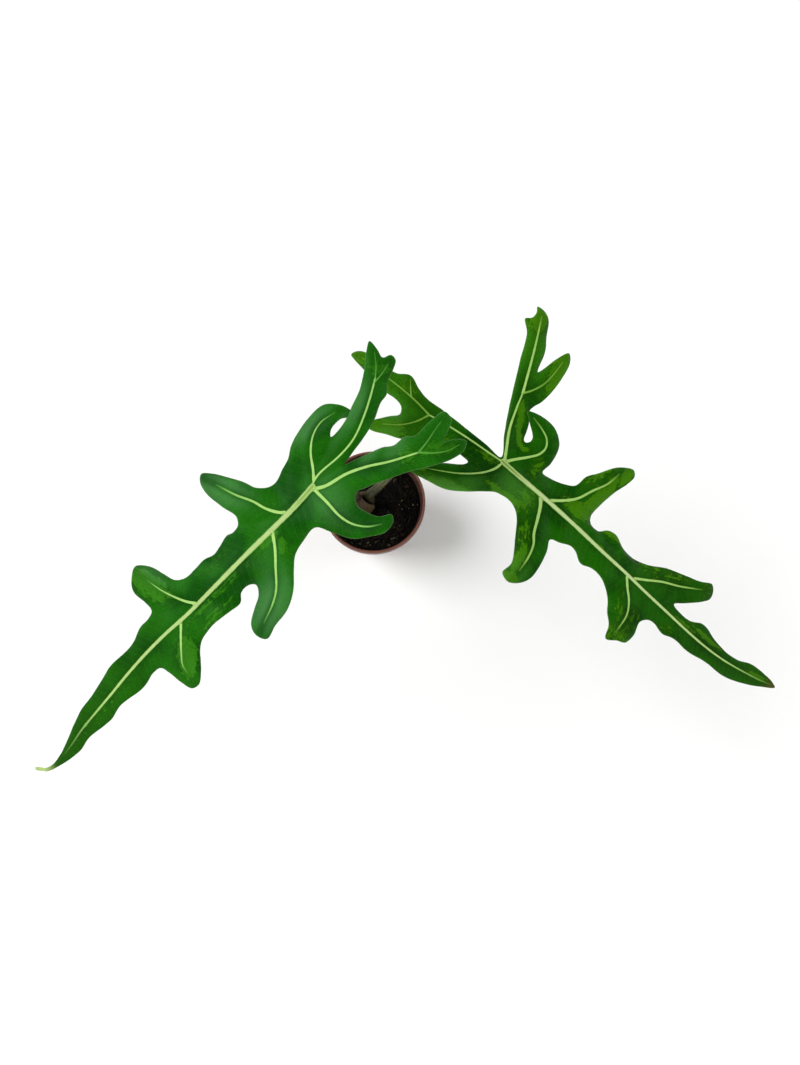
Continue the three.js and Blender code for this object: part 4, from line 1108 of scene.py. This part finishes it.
def blade_greens(look, tones, place, flow, speckle):
    """The skin's greens: broad clouds of two, paler patches with broken edges, specks and flecks."""
    skin = look.mix(look.step(look.noise(place, 19, 2), 0.38, 0.62), tones.deep, tones.mid)
    skin = look.mix(look.times(look.number("endward"), 0.85), skin, tones.end)
    skin = look.mix(look.times(look.number("rear"), 0.85), skin, tones.rear)
    streaks = look.noise(look.scaled(flow, (0.2, 0.8, 1)), 1, 6, 0.72)
    blots = look.noise(look.scaled(flow, (0.33, 0.5, 1)), 1, 6, 0.76)
    mottle = look.times(look.calc("ADD", streaks, blots), tones.mottle)
    lit = look.calc("SUBTRACT", look.calc("ADD", look.number("patch"), mottle), tones.mottle)
    skin = look.shaded(skin, look.step(lit, 0.12, 0.4, 1, tones.dim))
    marble = look.calc("ABSOLUTE", look.calc("SUBTRACT", lit, 0.27))
    skin = look.mix(look.step(marble, 0, 0.045, tones.marble, 0), skin, tones.patch)
    skin = look.mix(look.step(lit, 0.38, 0.56, 0, tones.patch_share), skin, tones.patch)
    skin = look.shaded(skin, look.vary(speckle, 0.72, 1.26))
    flecks = look.times(look.step(speckle, 0.6, 0.72), look.step(lit, 0, 0.4, 0.15, 0.8))
    return look.mix(look.times(flecks, tones.patch_share), skin, tones.patch)


def blade_skin(look, tones, place, flow):
    """Skin between the veins: partly painted shade beside them, painted shade and sheen, faint side veins, a
    pale edge.
    """
    along, distance = look.part(flow, "X"), look.part(flow, "Y")
    speckle = look.noise(look.scaled(flow, (0.7, 2.2, 1)), 1, 5, 0.75)
    skin = blade_greens(look, tones, place, flow, speckle)
    # Darker beside the veins: partly the skin's own deeper green and partly painted shade in the hollows
    # there
    skin = look.shaded(skin, look.step(distance, 0.6, 4.5, 0.84, 1))
    # Painted shade where the given shade spots lie
    skin = look.shaded(skin, look.step(look.number("shade"), 0, 1, 1, 0.62))
    # Painted sheen: a milky paler green where light would glance off the lobes
    bloom = look.times(look.number("bloom"), look.step(distance, 0.4, 3, 0.3, 1))
    skin = look.mix(look.times(bloom, look.vary(speckle, 0.75, 1)), skin, tones.bloom)
    slant = look.calc("SUBTRACT", along, look.times(distance, RELIEF.side_slant))
    wave = look.calc("SINE", look.times(slant, 2 * math.pi / RELIEF.side_pitch))
    side = look.times(look.step(wave, 0.9, 1, 0, 0.16), look.step(distance, 1, 3))
    skin = look.mix(side, skin, tones.patch)
    skin = look.mix(look.step(look.number("margin"), 0.05, 0.35, 0.15, 0), skin, (130, 165, 90))
    return look.mix(look.number("tip"), skin, tones.tip)


def vein_pale(look, tones, flow, ratio, grain):
    """The veins: pale, greener at their ends, and a midrib with a paler core and, at its root, a groove's
    painted shade.
    """
    midrib = look.number("midrib")
    pale = look.mix(look.number("outward"), tones.vein, tones.vein_end)
    pale = look.mix(look.step(midrib, 0, 0.2), pale, tones.midrib)
    # Near the joint the midrib's middle is darker: painted shade of a groove that the mesh does not have
    middle = look.mix(look.step(look.part(flow, "X"), 5, 18), tones.groove, tones.core)
    pale = look.mix(look.times(look.step(ratio, 0.2, 0.55, 0.9, 0), midrib), pale, middle)
    return look.shaded(pale, look.vary(grain, 0.88, 1.06))


def blade_look(name, tones):
    """Leaf skin: mottled greens with pale raised veins, and a matt, paler underside."""
    look = Look(name, specular=tones.gloss)
    look.shader.inputs["Specular Tint"].default_value = tones.wax
    place, flow, under = look.vector("place"), look.vector("flow"), look.number("under")
    width = look.vary(look.noise(look.scaled(flow, (0.4, 0.4, 1)), 1, 2), 0.93, 1.07)
    ratio = look.times(look.number("vein_ratio"), width)
    grain = look.noise(look.scaled(flow, (0.3, 5, 1)), 1, 3, 0.6)
    vein = look.times(look.step(ratio, 0.68, 1.12, 1, 0), look.number("vein_show"))
    upper = look.mix(vein, blade_skin(look, tones, place, flow), vein_pale(look, tones, flow, ratio, grain))
    lower = look.mix(look.vary(look.noise(place, 7, 4, 0.6)), tones.under, tones.under_pale)
    lower = look.mix(look.step(ratio, 0.9, 1.9, 0.8, 0), lower, tones.under_vein)
    pores = look.noise(place, 0.35, 3, 0.6)
    rough = look.calc("ADD", look.vary(pores, 0.34, 0.42), look.times(under, 0.2))
    rough = look.calc("ADD", rough, look.step(look.number("endward"), 0, 0.3, 0, 0.4))
    layers = (look.noise(place, 1.6, 3), 0.03), (pores, 0.012), (look.times(grain, vein), 0.1)
    return look.finish(look.mix(under, upper, lower), rough, *layers)


def stalk_look(name, tones):
    """Stalk skin: green at the blade and khaki lower down with painted shade at its foot, fine lengthwise
    streaks and brown flecks.
    """
    look = Look(name)
    skin, share = look.vector("skin"), look.number("share")
    streaks = look.noise(look.scaled(skin, (1, 1, 0.05)), 0.8, 4, 0.6)
    flecks = look.noise(look.scaled(skin, (1, 1, 0.3)), 1.2, 4, 0.65)
    colour = look.mix(look.step(share, 0.05, 0.8), tones.low, tones.high)
    streaked = look.times(look.step(streaks, 0.42, 0.62), look.step(share, 0.02, 0.35, 0.25, 1))
    colour = look.mix(streaked, colour, tones.streak)
    brown = look.times(look.step(flecks, 0.5, 0.62), look.step(share, 0.02, 0.6, 0.85, 0.12))
    colour = look.mix(brown, colour, tones.fleck)
    # Painted shade: the stalk darkens towards its foot, under the blades
    colour = look.shaded(colour, look.step(share, 0.08, 0.5, 0.4, 1))
    return look.finish(colour, look.vary(flecks, 0.38, 0.5), (streaks, 0.12), (flecks, 0.04))


def stem_look():
    """Brown bark, ringed dark at its leaf scars."""
    look = Look("stem_bark", specular=0.3)
    place = look.place()
    fibre = look.noise(look.scaled(place, (1, 1, 0.22)), 0.9, 5, 0.65)
    stain = look.noise(place, 3.5, 3, 0.6)
    colour = look.mix(look.step(fibre, 0.35, 0.65), (44, 34, 20), (92, 78, 44))
    colour = look.mix(look.step(stain, 0.48, 0.66, 0, 0.7), colour, (40, 28, 18))
    ring = look.calc("SINE", look.times(look.part(place, "Z"), 2 * math.pi / STEM.scar_pitch))
    colour = look.shaded(colour, look.step(ring, -0.9, 0.2, 0.6, 1))
    return look.finish(colour, 0.72, (fibre, 0.3), (stain, 0.2))


def sheath_look():
    """Dry brown fibres, olive to one side, with a rusty upper edge and a dark foot."""
    look = Look("dry_sheath", specular=0.3)
    flow = look.vector("flow")
    fibre = look.noise(look.scaled(flow, (95, 2.5, 1)), 1, 4, 0.6)
    broad = look.noise(look.scaled(flow, (7, 2.5, 1)), 1, 3, 0.6)
    # These browns are partly the sheath's own and partly painted shade, darker than the dry sheath itself
    colour = look.mix(look.step(fibre, 0.35, 0.65), (42, 29, 20), (74, 52, 37))
    aside = look.step(look.part(flow, "X"), 0.4, 0.8, 0, 0.5)
    colour = look.mix(look.calc("ADD", look.step(broad, 0.4, 0.65, 0, 0.5), aside), colour, (72, 66, 36))
    up = look.part(flow, "Y")
    colour = look.mix(look.step(up, 0.8, 1, 0, 0.6), colour, (58, 38, 26))
    colour = look.mix(look.step(up, 0, 0.22, 0.7, 0), colour, (24, 18, 13))
    return look.finish(colour, look.vary(fibre, 0.5, 0.66), (fibre, 0.25), (broad, 0.3))


def soil_look():
    """Near-black mix of fine grains, a few of them brown; the near-black is partly painted shade."""
    look = Look("potting_mix", specular=0.06)
    place = look.place()
    grains, fine = look.cells(place, 0.9), look.noise(place, 0.5, 5, 0.7)
    # The mix's own dark browns, made darker still as painted shade
    colour = look.mix(look.step(look.noise(place, 4, 4, 0.6), 0.35, 0.65), (5, 4, 3), (13, 10, 8))
    colour = look.mix(look.step(grains, 0.86, 0.94, 0, 0.6), colour, (27, 21, 15))
    colour = look.shaded(colour, look.vary(fine, 0.7, 1.35))
    return look.finish(colour, look.vary(fine, 0.75, 0.95), (grains, 0.25), (fine, 0.35))


def crumb_look(kind):
    """Bits on the soil, each with its own shade between dark and light, and a few odd ones."""
    look = Look(kind.name, specular=0.08)
    tint, fine = look.number("tint"), look.noise(look.place(), 0.5, 4, 0.65)
    colour = look.mix(look.calc("POWER", tint, 1.6), kind.dark, kind.light)
    colour = look.mix(look.step(tint, 0.93, 0.95, 0, 0.75), colour, kind.odd)
    colour = look.shaded(colour, look.vary(fine, 0.6, 1.3))
    return look.finish(colour, look.vary(fine, 0.7, 0.9), (fine, 0.3))


def pot_look():
    """Satin terracotta brown plastic, paler on its lip with rubbing and painted light, darkened inside by
    dirt and painted shade, and soiled at its foot.
    """
    look = Look("pot_plastic", specular=0.4)
    place, within = look.place(), look.number("within")
    fine = look.noise(place, 0.6, 4, 0.6)
    scuff = look.noise(look.scaled(place, (1, 1, 0.25)), 1.7, 5, 0.72)
    height = look.part(place, "Z")
    colour = look.mix(look.step(look.noise(place, 14, 4, 0.6), 0.35, 0.65), (84, 45, 33), (92, 51, 37))
    colour = look.mix(look.step(scuff, 0.6, 0.74, 0, 0.35), colour, (134, 92, 74))
    # Painted light on the top of the lip, broken by noise like rubbing
    rubbed = look.step(height, POT.height - POT.rubbed, POT.height, 0, 0.45)
    colour = look.mix(look.times(rubbed, look.step(fine, 0.35, 0.6)), colour, (124, 80, 62))
    # Painted shade inside the pot, broken by noise like dirt, darkens its inner wall
    dirt_and_shade = look.times(look.step(look.noise(place, 4, 5, 0.7), 0.36, 0.62, 0.35, 1), within)
    colour = look.mix(look.times(dirt_and_shade, 0.85), colour, (28, 17, 11))
    foot = look.times(look.step(height, 0.2, 6, 0.5, 0), look.step(scuff, 0.4, 0.6))
    colour = look.mix(foot, colour, (70, 46, 34))
    rough = look.calc("ADD", look.vary(fine, 0.4, 0.5), look.times(within, 0.3))
    return look.finish(colour, rough, (look.noise(place, 9, 2), 0.25), (fine, 0.05), (scuff, 0.04))


def floor_look():
    look = Look("pale_floor", specular=0.15)
    cloud = look.noise(look.place(), 240, 3)
    return look.finish(look.mix(look.vary(cloud), (247, 247, 246), (249, 249, 248)), 0.85)


# Floor, light and camera
def add_floor():
    disc = bmesh.new()
    radius = STAGE.floor_across * MM / 2
    bmesh.ops.create_circle(disc, cap_ends=True, segments=STAGE.floor_sides, radius=radius)
    mesh = bpy.data.meshes.new("pale_floor")
    disc.to_mesh(mesh)
    disc.free()
    mesh.materials.append(floor_look())
    floor = add_object("pale_floor", mesh)
    floor.location.z = -STAGE.floor_drop * MM


def add_light(name, azimuth, elevation, across, strength):
    lamp = bpy.data.lights.new(name, "SUN")
    lamp.angle, lamp.energy = math.radians(across), strength
    rotation = (math.radians(90 - elevation), 0, math.radians(180 - azimuth))
    add_object(name, lamp).rotation_euler = rotation


def add_sky():
    """Soft white light from all round, dimmer overhead than at the horizon."""
    world = bpy.data.worlds.new("soft_studio")
    world.use_nodes = True
    nodes = Nodes(world.node_tree)
    up = nodes.part(nodes.add("ShaderNodeTexCoord", {}, "Generated"), "Z")
    below = nodes.add("ShaderNodeMath", {0: 1, 1: up}, operation="SUBTRACT", use_clamp=True)
    fall = nodes.calc("POWER", below, STAGE.sky_fall)
    strength = nodes.add("ShaderNodeMapRange", {0: fall, 3: STAGE.sky_zenith, 4: STAGE.sky_horizon})
    background = world.node_tree.nodes["Background"]
    background.inputs["Color"].default_value = STAGE.sky_colour
    nodes.put(background.inputs["Strength"], strength)
    bpy.context.scene.world = world


def add_camera():
    camera = bpy.data.cameras.new("photo_view")
    camera.lens, camera.sensor_width = CAMERA.lens, CAMERA.sensor
    holder = add_object("photo_view", camera)
    holder.location = Vector(CAMERA.place) * MM
    holder.rotation_euler = (math.radians(90 - CAMERA.elevation), 0, 0)
    bpy.context.scene.camera = holder


# The plant
for leaf in (LEFT, RIGHT):
    build_blade(leaf, blade_look(leaf.blade_slot, leaf.tones))
for leaf in (LEFT, RIGHT):
    build_stalk(leaf, stalk_look(leaf.stalk_slot, leaf.stalk_tones))
build_stem(stem_look())
build_sheath(sheath_look())

# The pot and what fills it
build_pot(pot_look())
build_soil(soil_look())
rng = np.random.default_rng(SEED)
for kind in CRUMBS:
    scatter(rng, kind)
scatter_fibres(rng)

add_floor()
add_sky()
for name, light in LIGHTS.items():
    add_light(name, *light)
add_camera()
bpy.context.scene.view_settings.view_transform = "Standard"
